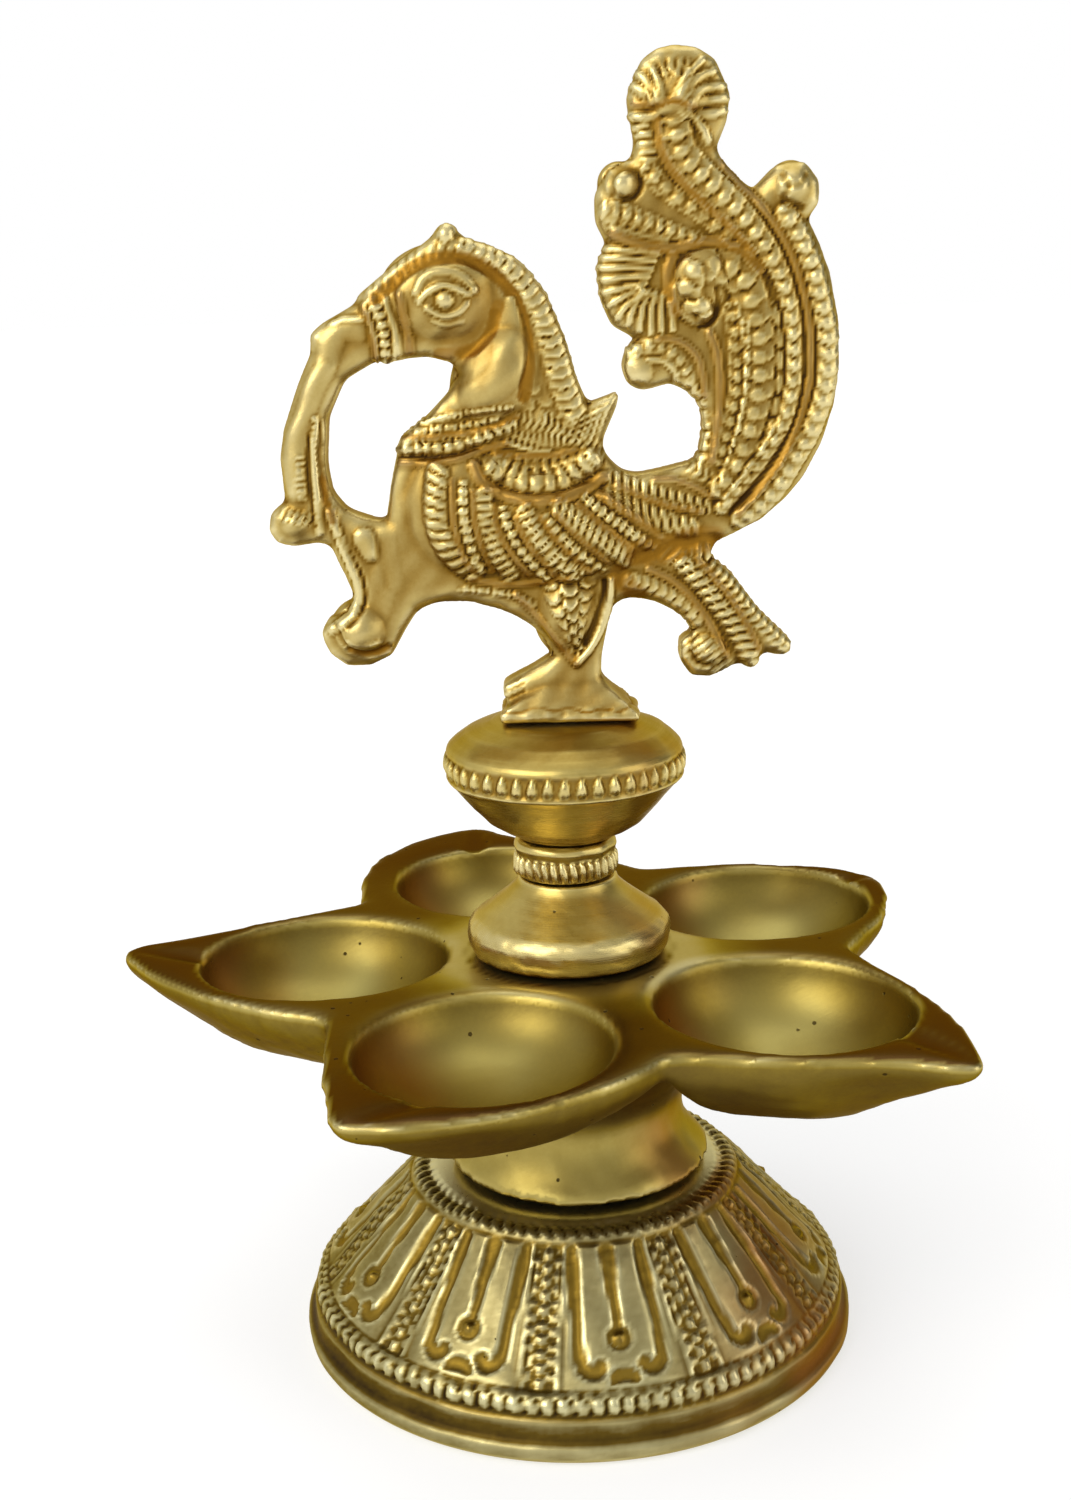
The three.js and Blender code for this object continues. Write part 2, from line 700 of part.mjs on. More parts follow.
function makeBird() {
  const outline = pathThrough(new THREE.Shape(), [
    ...crestAndMane,
    ...backAndCurl,
    ...shellAndFan,
    ...plumeEdge,
    ...fronds,
    ...legAndPad,
    ...breast,
    ...beak,
  ]);
  outline.holes.push(pathThrough(new THREE.Path(), throatGap));
  let made = solid(plate(outline, birdThickness, birdBevel));

  for (const [x, z, wide, high, thick, tilt] of swells) {
    const swell = ellipsoid(0, 0, 0, wide, thick / 2, high, 12, 8);
    swell.rotateY(THREE.MathUtils.degToRad(-tilt)).translate(x, 0, z);
    made = made.add(solid(swell));
  }
  const eye = ellipsoid(-14.7, 0, 60.1, eyeRadius, headThickness / 2 + 0.7, eyeRadius, 8, 6);
  made = made.add(solid(eye));
  const ribs = fans.flatMap(fanRibs);
  const bands = [...headBands, ...necklaces, ...wingBands, ...plumeBands, ...frondBands, ...ribs];
  for (const band of bands) {
    made = made.add(solid(chasedBand(...band)));
  }
  // foot pad and leg root
  const pad = pathThrough(new THREE.Shape(), [
    [-9, 0], [11, 0], [11, padHeight * 0.4], [7.5, padHeight + 1.6], [4.4, padHeight + 3.4],
    [-1, padHeight + 3], [-6, padHeight + 1], [-9, padHeight * 0.6],
  ]);
  made = made.add(solid(plate(pad, padThickness, 0)));
  return geometryOf(made);
}

// Finishes

const castPale = () => new THREE.MeshStandardMaterial({
  color: 0xcdb272, roughness: 0.36, metalness: 1,
});
const turnedBrass = () => new THREE.MeshStandardMaterial({
  color: 0xb09448, roughness: 0.3, metalness: 1,
});
const dishBrass = () => new THREE.MeshStandardMaterial({
  color: 0x94793a, roughness: 0.4, metalness: 1,
});
const zincSteel = () => new THREE.MeshStandardMaterial({
  color: 0x9a9a96, roughness: 0.45, metalness: 1,
});

function named(name, geometry, material) {
  const mesh = new THREE.Mesh(geometry, material);
  mesh.name = name;
  return mesh;
}

// The stack is built on the lamp's axis, then moved so that the whole stands with the middle
// of its plan at the origin: the five cups do not balance round the axis.
const dishGeometry = makeDish();
dishGeometry.computeBoundingBox();
const plan = dishGeometry.boundingBox.getCenter(new THREE.Vector3());
const tenth = (value) => Math.round(value * 10) / 10;

const finial = new THREE.Group();
finial.add(
  named('stem_foot', makeFoot(), turnedBrass()),
  named('neck_ring', makeRing(), turnedBrass()),
  named('stem_knob', makeKnob(), turnedBrass()),
);
const bird = named('bird', makeBird(), castPale());
bird.position.z = birdBottom;
finial.add(bird);

const lamp = new THREE.Group();
lamp.add(
  named('base', makeBase(), castPale()),
  named('oil_dish', dishGeometry, dishBrass()),
  finial,
  named('tie_rod', makeRod(), zincSteel()),
  named('washer', makeWasher(), zincSteel()),
  named('hex_nut', makeNut(), zincSteel()),
);
lamp.position.set(-tenth(plan.x), -tenth(plan.y), 0);

export default lamp;
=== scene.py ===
import json
import math
import bmesh
import bpy
import numpy as np
from mathutils import Matrix, Vector
from mathutils.kdtree import KDTree
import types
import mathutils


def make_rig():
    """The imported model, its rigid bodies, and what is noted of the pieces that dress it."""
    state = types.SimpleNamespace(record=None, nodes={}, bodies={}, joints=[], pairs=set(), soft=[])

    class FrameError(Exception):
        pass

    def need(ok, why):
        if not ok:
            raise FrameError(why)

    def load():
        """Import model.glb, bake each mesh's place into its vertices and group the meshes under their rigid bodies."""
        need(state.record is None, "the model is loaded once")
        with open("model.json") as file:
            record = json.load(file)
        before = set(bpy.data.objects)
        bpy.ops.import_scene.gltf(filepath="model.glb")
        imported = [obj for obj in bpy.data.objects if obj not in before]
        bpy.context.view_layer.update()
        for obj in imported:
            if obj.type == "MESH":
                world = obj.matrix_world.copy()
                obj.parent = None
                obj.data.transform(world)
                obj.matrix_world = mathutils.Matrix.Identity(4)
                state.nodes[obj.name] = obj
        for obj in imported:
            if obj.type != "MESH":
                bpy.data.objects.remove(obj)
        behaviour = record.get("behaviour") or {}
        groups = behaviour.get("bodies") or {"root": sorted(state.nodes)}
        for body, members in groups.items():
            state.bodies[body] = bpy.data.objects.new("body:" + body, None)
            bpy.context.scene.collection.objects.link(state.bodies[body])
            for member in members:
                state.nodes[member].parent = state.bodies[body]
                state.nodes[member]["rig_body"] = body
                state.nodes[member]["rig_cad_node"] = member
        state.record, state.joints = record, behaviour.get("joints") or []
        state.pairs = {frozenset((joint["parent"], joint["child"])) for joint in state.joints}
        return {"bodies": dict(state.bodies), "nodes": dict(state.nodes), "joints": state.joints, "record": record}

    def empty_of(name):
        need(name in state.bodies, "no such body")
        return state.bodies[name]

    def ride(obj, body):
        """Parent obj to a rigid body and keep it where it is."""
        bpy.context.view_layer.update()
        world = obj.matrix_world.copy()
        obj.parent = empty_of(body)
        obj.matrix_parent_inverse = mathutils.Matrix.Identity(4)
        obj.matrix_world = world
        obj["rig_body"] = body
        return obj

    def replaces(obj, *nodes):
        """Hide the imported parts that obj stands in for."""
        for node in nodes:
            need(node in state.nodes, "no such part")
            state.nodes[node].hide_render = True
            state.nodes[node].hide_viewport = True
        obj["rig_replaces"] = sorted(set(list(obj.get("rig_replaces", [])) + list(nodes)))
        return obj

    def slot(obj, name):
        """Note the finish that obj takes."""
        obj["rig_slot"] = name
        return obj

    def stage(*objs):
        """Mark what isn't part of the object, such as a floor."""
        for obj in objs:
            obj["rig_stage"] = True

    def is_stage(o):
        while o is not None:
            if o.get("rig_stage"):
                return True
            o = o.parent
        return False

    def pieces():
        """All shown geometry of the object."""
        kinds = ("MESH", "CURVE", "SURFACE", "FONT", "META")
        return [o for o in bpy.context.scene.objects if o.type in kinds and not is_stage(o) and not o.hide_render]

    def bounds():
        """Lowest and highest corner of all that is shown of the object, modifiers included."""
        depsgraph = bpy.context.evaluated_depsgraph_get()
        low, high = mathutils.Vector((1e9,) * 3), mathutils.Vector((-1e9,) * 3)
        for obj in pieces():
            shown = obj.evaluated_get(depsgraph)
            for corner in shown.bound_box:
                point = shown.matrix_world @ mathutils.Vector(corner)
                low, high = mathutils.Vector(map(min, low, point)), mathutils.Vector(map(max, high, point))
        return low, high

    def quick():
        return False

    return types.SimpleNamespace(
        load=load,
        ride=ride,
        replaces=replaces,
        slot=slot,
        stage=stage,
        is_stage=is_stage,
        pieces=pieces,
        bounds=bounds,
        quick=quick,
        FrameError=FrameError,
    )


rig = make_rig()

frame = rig.load()
cadLow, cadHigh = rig.bounds()
print("frame loaded")

# Pieces are shaped in millimetres round the lamp's axis, then set into the frame in metres
axis = {"x": 7.8, "y": -4.5}
toMetres = 0.001
intoFrame = Matrix.Scale(toMetres, 4) @ Matrix.Translation((axis["x"], axis["y"], 0))

camera = {
    "distance": 272.98,
    "height": 160.51,
    "pitch": 14.26,
    "yaw": -0.89,
    "roll": -1.66,
    "lens": 45.99,
    "sensor": 36,
    "clip": (0.01, 20),
}


def setCamera():
    pitch, yaw, roll = (math.radians(camera[k]) for k in ("pitch", "yaw", "roll"))
    ahead = Vector((math.sin(yaw) * math.cos(pitch), math.cos(yaw) * math.cos(pitch), -math.sin(pitch)))
    side = Vector((math.cos(yaw), -math.sin(yaw), 0))
    up = side.cross(ahead)
    right = math.cos(roll) * side + math.sin(roll) * up
    above = math.cos(roll) * up - math.sin(roll) * side
    data = bpy.data.cameras.new("camera")
    data.lens = camera["lens"]
    data.sensor_width = camera["sensor"]
    data.clip_start, data.clip_end = camera["clip"]
    shot = bpy.data.objects.new("camera", data)
    bpy.context.scene.collection.objects.link(shot)
    place = Matrix((right, above, -ahead)).transposed().to_4x4()
    place.translation = Vector((axis["x"], axis["y"] - camera["distance"], camera["height"])) * toMetres
    shot.matrix_world = place
    bpy.context.scene.camera = shot


setCamera()
print("camera placed")


# Mesh helpers

relaxShare = 0.5      # how far a vertex goes to the middle of its neighbours in one round
weldGap = 1e-4
plainWear = 0.5       # this level is 0 in the deepest recess and 1 on rubbed edges; on some pieces painted light and shade are added to it


def meshFrom(bm, name, smooth=True):
    mesh = bpy.data.meshes.new(name)
    bm.to_mesh(mesh)
    bm.free()
    mesh.polygons.foreach_set("use_smooth", [smooth] * len(mesh.polygons))
    obj = bpy.data.objects.new(name, mesh)
    bpy.context.scene.collection.objects.link(obj)
    return obj


def meshNow(obj):  # a new mesh, as the modifiers make it
    graph = bpy.context.evaluated_depsgraph_get()
    return bpy.data.meshes.new_from_object(obj.evaluated_get(graph))


def settle(obj):  # replaces the mesh by what its modifiers make
    made = meshNow(obj)
    obj.modifiers.clear()
    old, obj.data = obj.data, made
    bpy.data.meshes.remove(old)
    return obj


def addRelax(obj, times):
    soft = obj.modifiers.new("relax", "SMOOTH")
    soft.factor, soft.iterations = relaxShare, times
    return soft


def remesh(obj, voxel, relax):
    step = obj.modifiers.new("cast", "REMESH")
    step.mode, step.voxel_size, step.use_smooth_shade = "VOXEL", voxel, True
    addRelax(obj, relax)
    return settle(obj)


def evenOut(obj, chosen, times):  # relaxes the chosen vertices only
    bm = bmesh.new()
    bm.from_mesh(obj.data)
    bm.verts.ensure_lookup_table()
    verts = [bm.verts[i] for i in np.flatnonzero(chosen)]
    for _ in range(times):
        bmesh.ops.smooth_vert(
            bm, verts=verts, factor=relaxShare, use_axis_x=True, use_axis_y=True, use_axis_z=True)
    bm.to_mesh(obj.data)
    bm.free()


def cut(obj, other, operation="DIFFERENCE"):
    step = obj.modifiers.new("cut", "BOOLEAN")
    step.object, step.operation, step.solver = other, operation, "EXACT"
    settle(obj)
    bpy.data.objects.remove(other)


def vertsIn(geom):
    return [g for g in geom if isinstance(g, bmesh.types.BMVert)]


def thicken(bm, faces, way):  # extrudes faces and moves the new ones
    made = bmesh.ops.extrude_face_region(bm, geom=faces)["geom"]
    bmesh.ops.translate(bm, vec=way, verts=vertsIn(made))


def turnVerts(bm, verts, angle, way):
    bmesh.ops.rotate(bm, cent=(0, 0, 0), matrix=Matrix.Rotation(angle, 3, way), verts=verts)


def places(mesh):
    co = np.empty(len(mesh.vertices) * 3)
    mesh.vertices.foreach_get("co", co)
    return co.reshape(-1, 3)


def normals(mesh):
    n = np.empty(len(mesh.vertices) * 3, np.float32)
    mesh.vertex_normals.foreach_get("vector", n)
    return n.reshape(-1, 3).astype(float)


def radiusOf(co):
    return np.hypot(co[:, 0], co[:, 1])


def angleOf(co):
    return np.arctan2(co[:, 1], co[:, 0])


def setPlaces(mesh, co):
    mesh.vertices.foreach_set("co", co.astype(np.float32).ravel())
    mesh.update()


def setValues(mesh, name, values):
    layer = mesh.attributes.get(name) or mesh.attributes.new(name, "FLOAT", "POINT")
    layer.data.foreach_set("value", np.asarray(values, np.float32))


def smoothed(obj, times):  # where the vertices would be after so many rounds
    soft = addRelax(obj, times)
    made = meshNow(obj)
    co = places(made)
    obj.modifiers.remove(soft)
    bpy.data.meshes.remove(made)
    return co


# extra adds to the level; on the dish, base and knob it holds painted light and shade
def markWearAndShade(obj, fine, broad, gain, extra=0.0):
    co, n = places(obj.data), normals(obj.data)
    near = ((co - smoothed(obj, fine)) * n).sum(1)
    far = ((co - smoothed(obj, broad)) * n).sum(1)
    setValues(obj.data, "wearAndShade", np.clip(plainWear + gain[0] * near + gain[1] * far + extra, 0, 1))


def finishPiece(obj, body, nodes, slot, material):
    for name in ("warmReflection", "tint"):
        if name not in obj.data.attributes:
            setValues(obj.data, name, np.zeros(len(obj.data.vertices)))
    obj.data.transform(intoFrame)
    obj.data.materials.clear()
    obj.data.materials.append(material)
    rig.ride(obj, body)
    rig.replaces(obj, *nodes)
    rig.slot(obj, slot)
    print(obj.name, len(obj.data.polygons), "faces")


# Lines and numbers

def smoothLine(points, step):
    p = np.array(points, float)
    p = np.vstack([2 * p[:1] - p[1:2], p, 2 * p[-1:] - p[-2:-1]])
    out = []
    for a, b, c, d in zip(p, p[1:], p[2:], p[3:]):
        t = np.linspace(0, 1, max(2, int(np.linalg.norm(c - b) / step)), endpoint=False)[:, None]
        square, cube = 2 * a - 5 * b + 4 * c - d, 3 * b - a - 3 * c + d
        out.append(0.5 * (2 * b + (c - a) * t + square * t**2 + cube * t**3))
    return np.vstack(out + [p[-2:-1]])


def sections(points, step):  # straight runs between chosen points, closely spaced
    p = np.array(points, float)
    out = []
    for a, b in zip(p, p[1:]):
        t = np.linspace(0, 1, max(1, round(np.linalg.norm(b - a) / step)), endpoint=False)[:, None]
        out.append(a + (b - a) * t)
    return np.vstack(out + [p[-1:]])


def softened(line, times, closed=False):
    for _ in range(times):
        before, after = np.roll(line, 1, 0), np.roll(line, -1, 0)
        new = line * 0.5 + (before + after) * 0.25
        if not closed:
            new[0], new[-1] = line[0], line[-1]
        line = new
    return line


def turned(name, profile, steps, closed=True):  # profile of (radius, height) spun round the axis
    bm = bmesh.new()
    verts = [bm.verts.new((r, 0, z)) for r, z in profile]
    edges = [bm.edges.new(pair) for pair in zip(verts, verts[1:])]
    if closed:
        edges.append(bm.edges.new((verts[-1], verts[0])))
    bmesh.ops.spin(bm, geom=verts + edges, cent=(0, 0, 0), axis=(0, 0, 1), dvec=(0, 0, 0),
                   angle=2 * math.pi, steps=steps, use_merge=True, use_duplicate=False)
    bmesh.ops.remove_doubles(bm, verts=bm.verts, dist=weldGap)
    bmesh.ops.recalc_face_normals(bm, faces=bm.faces)
    return meshFrom(bm, name)


def smoothStep(t):
    t = np.clip(t, 0, 1)
    return t * t * (3 - 2 * t)


def above(value, start, gain):  # 0 up to the start, then rises to 1
    return smoothStep((value - start) * gain)


def below(value, end, gain):  # 1, falling to 0 at the end
    return smoothStep((end - value) * gain)


def fraction(value):  # what a number has beyond its whole
    return value - np.floor(value)


def hump(value, middle, wide):  # 1 at the middle, fading on both sides
    return np.exp(-((value - middle) / wide) ** 2)


waves = {"count": 7, "spread": (0.6, 1.5), "lag": 6.3, "sum": 3.2}


def wavy(co, size, seed):  # smooth noise, about -1 to 1, as a sum of sines
    turn = np.random.default_rng(seed)
    out = np.zeros(len(co))
    for _ in range(waves["count"]):
        way = turn.normal(size=3)
        way *= 2 * np.pi / size / np.linalg.norm(way) * turn.uniform(*waves["spread"])
        out += np.sin(co @ way + turn.uniform(0, waves["lag"]))
    return out / waves["sum"]


def uneven(co, layers):  # layers of (height, size, seed)
    return sum(height * wavy(co, size, seed) for height, size, seed in layers)


chance = {"turn": 12.99, "spread": 437.5, "salt": 7.1}


def chanceAt(k, salt):  # 0 to 1, always the same for one bead
    return np.abs(np.sin(k * chance["turn"] + salt) * chance["spread"]) % 1


# Chasing: strokes pressed into a surface. A stroke is its points, then the marks that run along it,
# each (kind, half width, height) or (kind, half width, height, pitch, lean).

stroke = {
    "step": 0.2,
    "reach": 1.6,           # how far from the line vertices are tried, in half widths
    "edge": 1.55,           # how far from it they are kept
    "pairs": 4000000,       # vertices times points that are compared at once
    "stain": 1.4,           # gains from a mark's height to its tint
    "bare": (0.1, 1.5),
    "trough": (1.5, 0.3),
    "orange": (1.6, 0.8),
}


def alongStroke(co, points, half, facing):
    line = smoothLine(points, stroke["step"])
    if line.shape[1] == 2:  # drawn on the face of the bird
        line = np.insert(line, 1, 0, axis=1)
    reach = float(np.max(half)) * stroke["reach"]
    near = np.nonzero(np.all((co > line.min(0) - reach) & (co < line.max(0) + reach), axis=1))[0]
    if len(near) == 0:
        return None
    ahead = np.gradient(line, axis=0)
    ahead /= np.linalg.norm(ahead, axis=1)[:, None]
    arc = np.concatenate([[0], np.cumsum(np.linalg.norm(np.diff(line, axis=0), axis=1))])
    parts = max(1, len(near) * len(line) // stroke["pairs"])
    nearest = np.concatenate([
        ((part[:, None] - line[None]) ** 2).sum(2).argmin(1) for part in np.array_split(co[near], parts)])
    away = co[near] - line[nearest]
    onward = (away * ahead[nearest]).sum(1)
    s = arc[nearest] + onward
    off = away - ahead[nearest] * onward[:, None]
    side = np.cross(ahead[nearest], np.asarray(facing, float))
    across = np.sign((off * side).sum(1)) * np.linalg.norm(off, axis=1)
    total = arc[-1]
    width = np.interp(s / total, np.linspace(0, 1, np.size(half)), np.atleast_1d(half))
    keep = (np.abs(across) < width * stroke["edge"]) & (s > -reach) & (s < total + reach)
    past = np.maximum(np.maximum(-s, s - total), 0)
    return near[keep], s[keep], (across / width)[keep], total, (past / width)[keep]


# Each kind's form. s runs along the stroke, u across it from -1 to 1, past beyond its ends.
def strokeHeight(kind, s, u, total, pitch, lean, past):
    r2 = u * u + past * past
    inside = np.clip(1 - r2, 0, 1)
    edge = np.clip(1 - r2 * r2, 0, 1)
    count = max(1, round(total / pitch)) if pitch else 1
    beat = s / total * count
    if kind == "plain":
        return inside
    if kind in ("band", "orange", "stain"):
        return inside ** 0.6
    if kind == "groove":
        return -0.6 * inside
    if kind in ("trough", "sunk"):
        r = np.sqrt(r2)
        return hump(r, 1.2, 0.15) * 0.16 - smoothStep((1.2 - r) / 0.7)
    if kind == "bead":
        luck = chanceAt(np.floor(beat), total * chance["salt"])
        f = (fraction(beat) - 0.5 + 0.14 * (luck - 0.5)) * 2 / (0.9 + 0.2 * luck)
        ball = np.clip(1 - f * f - r2, 0, 1) ** 0.6
        return np.minimum(ball * (0.8 + 0.3 * luck), 0.86) - 0.14 * np.clip(1.6 - r2, 0, 1) * (ball <= 0)
    if kind == "leaf":  # a bead with a slanting leaf on either side
        luck = chanceAt(np.floor(beat), total * chance["salt"])
        f = (fraction(beat) - 0.5 + 0.1 * (luck - 0.5)) * 2
        v = (u + 0.12 * (luck - 0.5)) / 0.6
        ball = np.clip(1 - (f / 0.88) ** 2 - v ** 2 - past * past, 0, 1) ** 0.55
        g = fraction(beat + 0.42 * np.abs(u))
        wing = (0.2 + 0.42 * g) * smoothStep((1 - g) * 7) * smoothStep((1.04 - np.sqrt(r2)) * 5)
        return np.maximum(np.minimum(ball, 0.84) * (0.8 + 0.25 * luck), wing)
    if kind == "rib":
        g = np.abs(fraction(beat + lean * u) - 0.5) * 2
        return (0.62 - smoothStep((g - 0.45) * 1.9)) * edge
    if kind == "twin":  # ribs that lean to each other from both sides
        wave = 0.5 + 0.5 * np.cos(2 * np.pi * (beat + lean * np.abs(u)))
        return (wave ** 0.8 - 0.35) * edge
    if kind == "scale":  # each lies over the next
        f = fraction(beat + lean * u * u)
        return (0.35 + 0.5 * f * smoothStep((1 - f) * 6) - 0.35 * smoothStep((f - 0.9) * 10)) * edge
    # "shingle": two or three staggered rows of scales
    rows = max(2, int(abs(lean)))
    place = (u + 1) / 2 * rows
    row = np.clip(np.floor(place), 0, rows - 1)
    v = (place - row) * 2 - 1
    f = fraction(beat + 0.5 * (row % 2) + 0.45 * v * v)
    tip = np.clip((1 - f) * 8, 0, 1) * np.clip(1.15 - v**4, 0, 1)
    return (np.clip(f * 1.2, 0, 1) ** 0.7 * tip - 0.3) * edge


def chase(co, strokes, height, tint, facing=(0, -1, 0)):
    for points, *marks in strokes:
        for kind, half, lift, *beat in marks:
            found = alongStroke(co, points, half, facing)
            if found is None:
                continue
            near, s, u, total, past = found
            pitch, lean = beat or (0, 0)
            h = strokeHeight(kind, s, u, total, pitch, lean, past)
            old = tint[near]
            if kind == "stain":
                tint[near] = np.maximum(old, np.clip(h * stroke["stain"], 0, 1) * lift)
                continue
            if kind == "plain":
                least, gain = stroke["bare"]
                height[near] *= 1 - np.clip(h * stroke["stain"], 0, 1)
                tint[near] = np.where(h > least, np.minimum(old, -smoothStep(h * gain)), old)
            height[near] += h * lift
            if kind == "trough":
                gain, less = stroke["trough"]
                tint[near] = np.maximum(old, smoothStep(-h * gain - less))
            if kind == "orange":
                gain, most = stroke["orange"]
                tint[near] = np.maximum(old, np.clip(h * gain, 0, 1) * most)


# Finishes

finish = {
    "speck": 1.6,                                   # grain of the finest colour change
    "stainedAndShaded": 0.95, "rubbedAndHighlight": 0.8,                 # most that a tint covers
    "wander": 0.08,                                 # how far turned rings stray
    "fileTilt": (0.2, 0.5, 0.35), "fileLength": (0.35, 0.9),
    "pit": {"size": 0.17, "edge": 0.05, "shade": 0.75, "rough": 0.3},
    "roughFrom": (0.25, 0.8),                       # wear at which metal is dull, and bright
    "rubbedSmooth": 0.08,
    "metalFrom": (0.1, 0.45), "metalTo": (0.75, 1.0),
}


def nodesOf(name):
    material = bpy.data.materials.new(name)
    material.use_nodes = True
    tree = material.node_tree
    tree.nodes.clear()
    return material, tree


def add(tree, kind, inputs=None, **settings):
    node = tree.nodes.new(kind)
    for key, value in settings.items():
        setattr(node, key, value)
    for key, value in (inputs or {}).items():
        if isinstance(value, bpy.types.NodeSocket):
            tree.links.new(value, node.inputs[key])
        else:
            node.inputs[key].default_value = value
    return node


def shade(red, green, blue):  # 0 to 255 as seen, to the linear values that Blender wants
    line = [c / 255 / 12.92 if c <= 10 else ((c / 255 + 0.055) / 1.055) ** 2.4 for c in (red, green, blue)]
    return (*line, 1)


def ramp(tree, value, stops):
    node = add(tree, "ShaderNodeValToRGB", {0: value})
    while len(node.color_ramp.elements) < len(stops):
        node.color_ramp.elements.new(0.5)
    for element, (at, colour) in zip(node.color_ramp.elements, stops):
        element.position, element.color = at, colour
    return node.outputs[0]


def grey(v):
    return (v, v, v, 1)


def calc(tree, operation, a, b):
    return add(tree, "ShaderNodeMath", {0: a, 1: b}, operation=operation).outputs[0]


def plus(tree, total, value, share):  # total + value * share
    return calc(tree, "ADD", total, calc(tree, "MULTIPLY", value, share))


def about(tree, value):  # noise round 0
    return calc(tree, "SUBTRACT", value, 0.5)


def spread(tree, value, low, high, least=0.0, most=1.0):
    return add(tree, "ShaderNodeMapRange", {
        "Value": value, "From Min": low, "From Max": high, "To Min": least, "To Max": most}).outputs[0]


def blendColour(tree, share, a, b):
    node = add(tree, "ShaderNodeMix", data_type="RGBA")
    for socket, value in ((node.inputs[0], share), (node.inputs[6], a), (node.inputs[7], b)):
        if isinstance(value, bpy.types.NodeSocket):
            tree.links.new(value, socket)
        else:
            socket.default_value = value
    return node.outputs[2]


def noise(tree, coords, detail, rough):
    return add(tree, "ShaderNodeTexNoise", {
        "Vector": coords, "Scale": 1.0, "Detail": detail, "Roughness": rough}).outputs[0]


def stretched(tree, coords, scale, detail, rough):
    place = add(tree, "ShaderNodeMapping", {"Vector": coords, "Scale": scale}).outputs[0]
    return noise(tree, place, detail, rough)


def vectorCalc(tree, operation, a, b):
    return add(tree, "ShaderNodeVectorMath", {0: a, 1: b}, operation=operation).outputs[0]


def turnedMarks(tree, centred, fine):  # rings left by turning
    flat = add(tree, "ShaderNodeMapping", {"Vector": centred, "Scale": (1, 1, 0)}).outputs[0]
    radius = add(tree, "ShaderNodeVectorMath", {0: flat}, operation="LENGTH").outputs["Value"]
    height = add(tree, "ShaderNodeSeparateXYZ", {0: centred}).outputs[2]
    rings = add(tree, "ShaderNodeCombineXYZ", {
        0: calc(tree, "MULTIPLY", radius, fine), 1: calc(tree, "MULTIPLY", height, fine), 2: 0.3}).outputs[0]
    wander = vectorCalc(tree, "MULTIPLY", centred, (finish["wander"],) * 3)
    return noise(tree, vectorCalc(tree, "ADD", rings, wander), 3, 0.6)


def filedMarks(tree, centred, fine):  # strokes of a file
    tilted = add(tree, "ShaderNodeMapping", {"Vector": centred, "Rotation": finish["fileTilt"]}).outputs[0]
    return stretched(tree, tilted, (*finish["fileLength"], fine), 3, 0.6)


def makeBrass(name, look):
    material, tree = nodesOf(name)
    coords = add(tree, "ShaderNodeTexCoord").outputs["Object"]
    centred = add(tree, "ShaderNodeMapping", {
        "Vector": coords, "Location": (-axis["x"], -axis["y"], 0), "Scale": (1 / toMetres,) * 3}).outputs[0]
    # the warm attribute is a painted warm reflection: on one side of the base, dish and stem, and on the bowls' left
    # walls
    wearAndShade, tint, warmReflection = (
        add(tree, "ShaderNodeAttribute", attribute_name=k).outputs["Fac"] for k in ("wearAndShade", "tint", "warmReflection"))
    cloud = stretched(tree, centred, (look["cloud"],) * 3, 4, 0.6)
    speck = stretched(tree, centred, (finish["speck"],) * 3, 5, 0.7)
    level = plus(tree, wearAndShade, about(tree, cloud), look["cloudy"])
    level = plus(tree, level, about(tree, speck), look["specky"])
    # positive tint gives the stained colour: tarnish in recesses, and painted shade and dark reflection on the dish
    # and at the lowest edge of the stem's foot
    stain = calc(tree, "MULTIPLY", calc(tree, "MAXIMUM", tint, 0.0), finish["stainedAndShaded"])
    # negative tint gives the rubbed colour: rubbed metal, and in the dish's bowls a painted highlight
    bare = calc(tree, "MAXIMUM", calc(tree, "MULTIPLY", tint, -1.0), 0.0)
    cleanAndHighlight = calc(tree, "MULTIPLY", bare, finish["rubbedAndHighlight"])
    colour = ramp(tree, level, [(p, shade(*c)) for p, c in look["colours"]])
    for share, kind in ((warmReflection, "warmReflection"), (stain, "stainedAndShaded"), (cleanAndHighlight, "rubbedAndHighlight")):
        colour = blendColour(tree, share, colour, shade(*look[kind]))
    marks = (turnedMarks if look["marks"] == "turned" else filedMarks)(tree, centred, look["fine"])
    # a few cells of the pattern hold a pit
    pit = finish["pit"]
    pits = add(tree, "ShaderNodeTexVoronoi", {
        "Vector": centred, "Scale": look["pitScale"], "Randomness": 1.0})
    luck = add(tree, "ShaderNodeSeparateColor", {0: pits.outputs["Color"]}).outputs[0]
    size = calc(tree, "SUBTRACT", luck, 1 - look["pitShare"])
    size = calc(tree, "MULTIPLY", size, pit["size"] / look["pitShare"])
    hole = spread(tree, calc(tree, "SUBTRACT", size, pits.outputs["Distance"]), 0.0, pit["edge"])
    dark = calc(tree, "MULTIPLY", hole, pit["shade"])
    colour = blendColour(tree, dark, colour, shade(*look["colours"][0][1]))
    rough = spread(tree, level, *finish["roughFrom"], look["dull"], look["bright"])
    rough = plus(tree, rough, about(tree, marks), look["markRough"])
    rough = plus(tree, rough, cleanAndHighlight, -finish["rubbedSmooth"])
    rough = plus(tree, rough, hole, pit["rough"])
    relief = plus(tree, calc(tree, "MULTIPLY", marks, look["markDepth"]), speck, look["speckDepth"])
    relief = plus(tree, relief, hole, -look["pitDepth"])
    bump = add(tree, "ShaderNodeBump", {"Strength": 1.0, "Distance": toMetres, "Height": relief}).outputs[0]
    metal = spread(tree, level, *finish["metalFrom"], *finish["metalTo"])
    shader = add(tree, "ShaderNodeBsdfPrincipled", {
        "Base Color": colour, "Metallic": metal, "Roughness": rough, "Normal": bump,
        "Specular Tint": shade(*look["grazing"])})
    add(tree, "ShaderNodeOutputMaterial", {0: shader.outputs[0]})
    return material


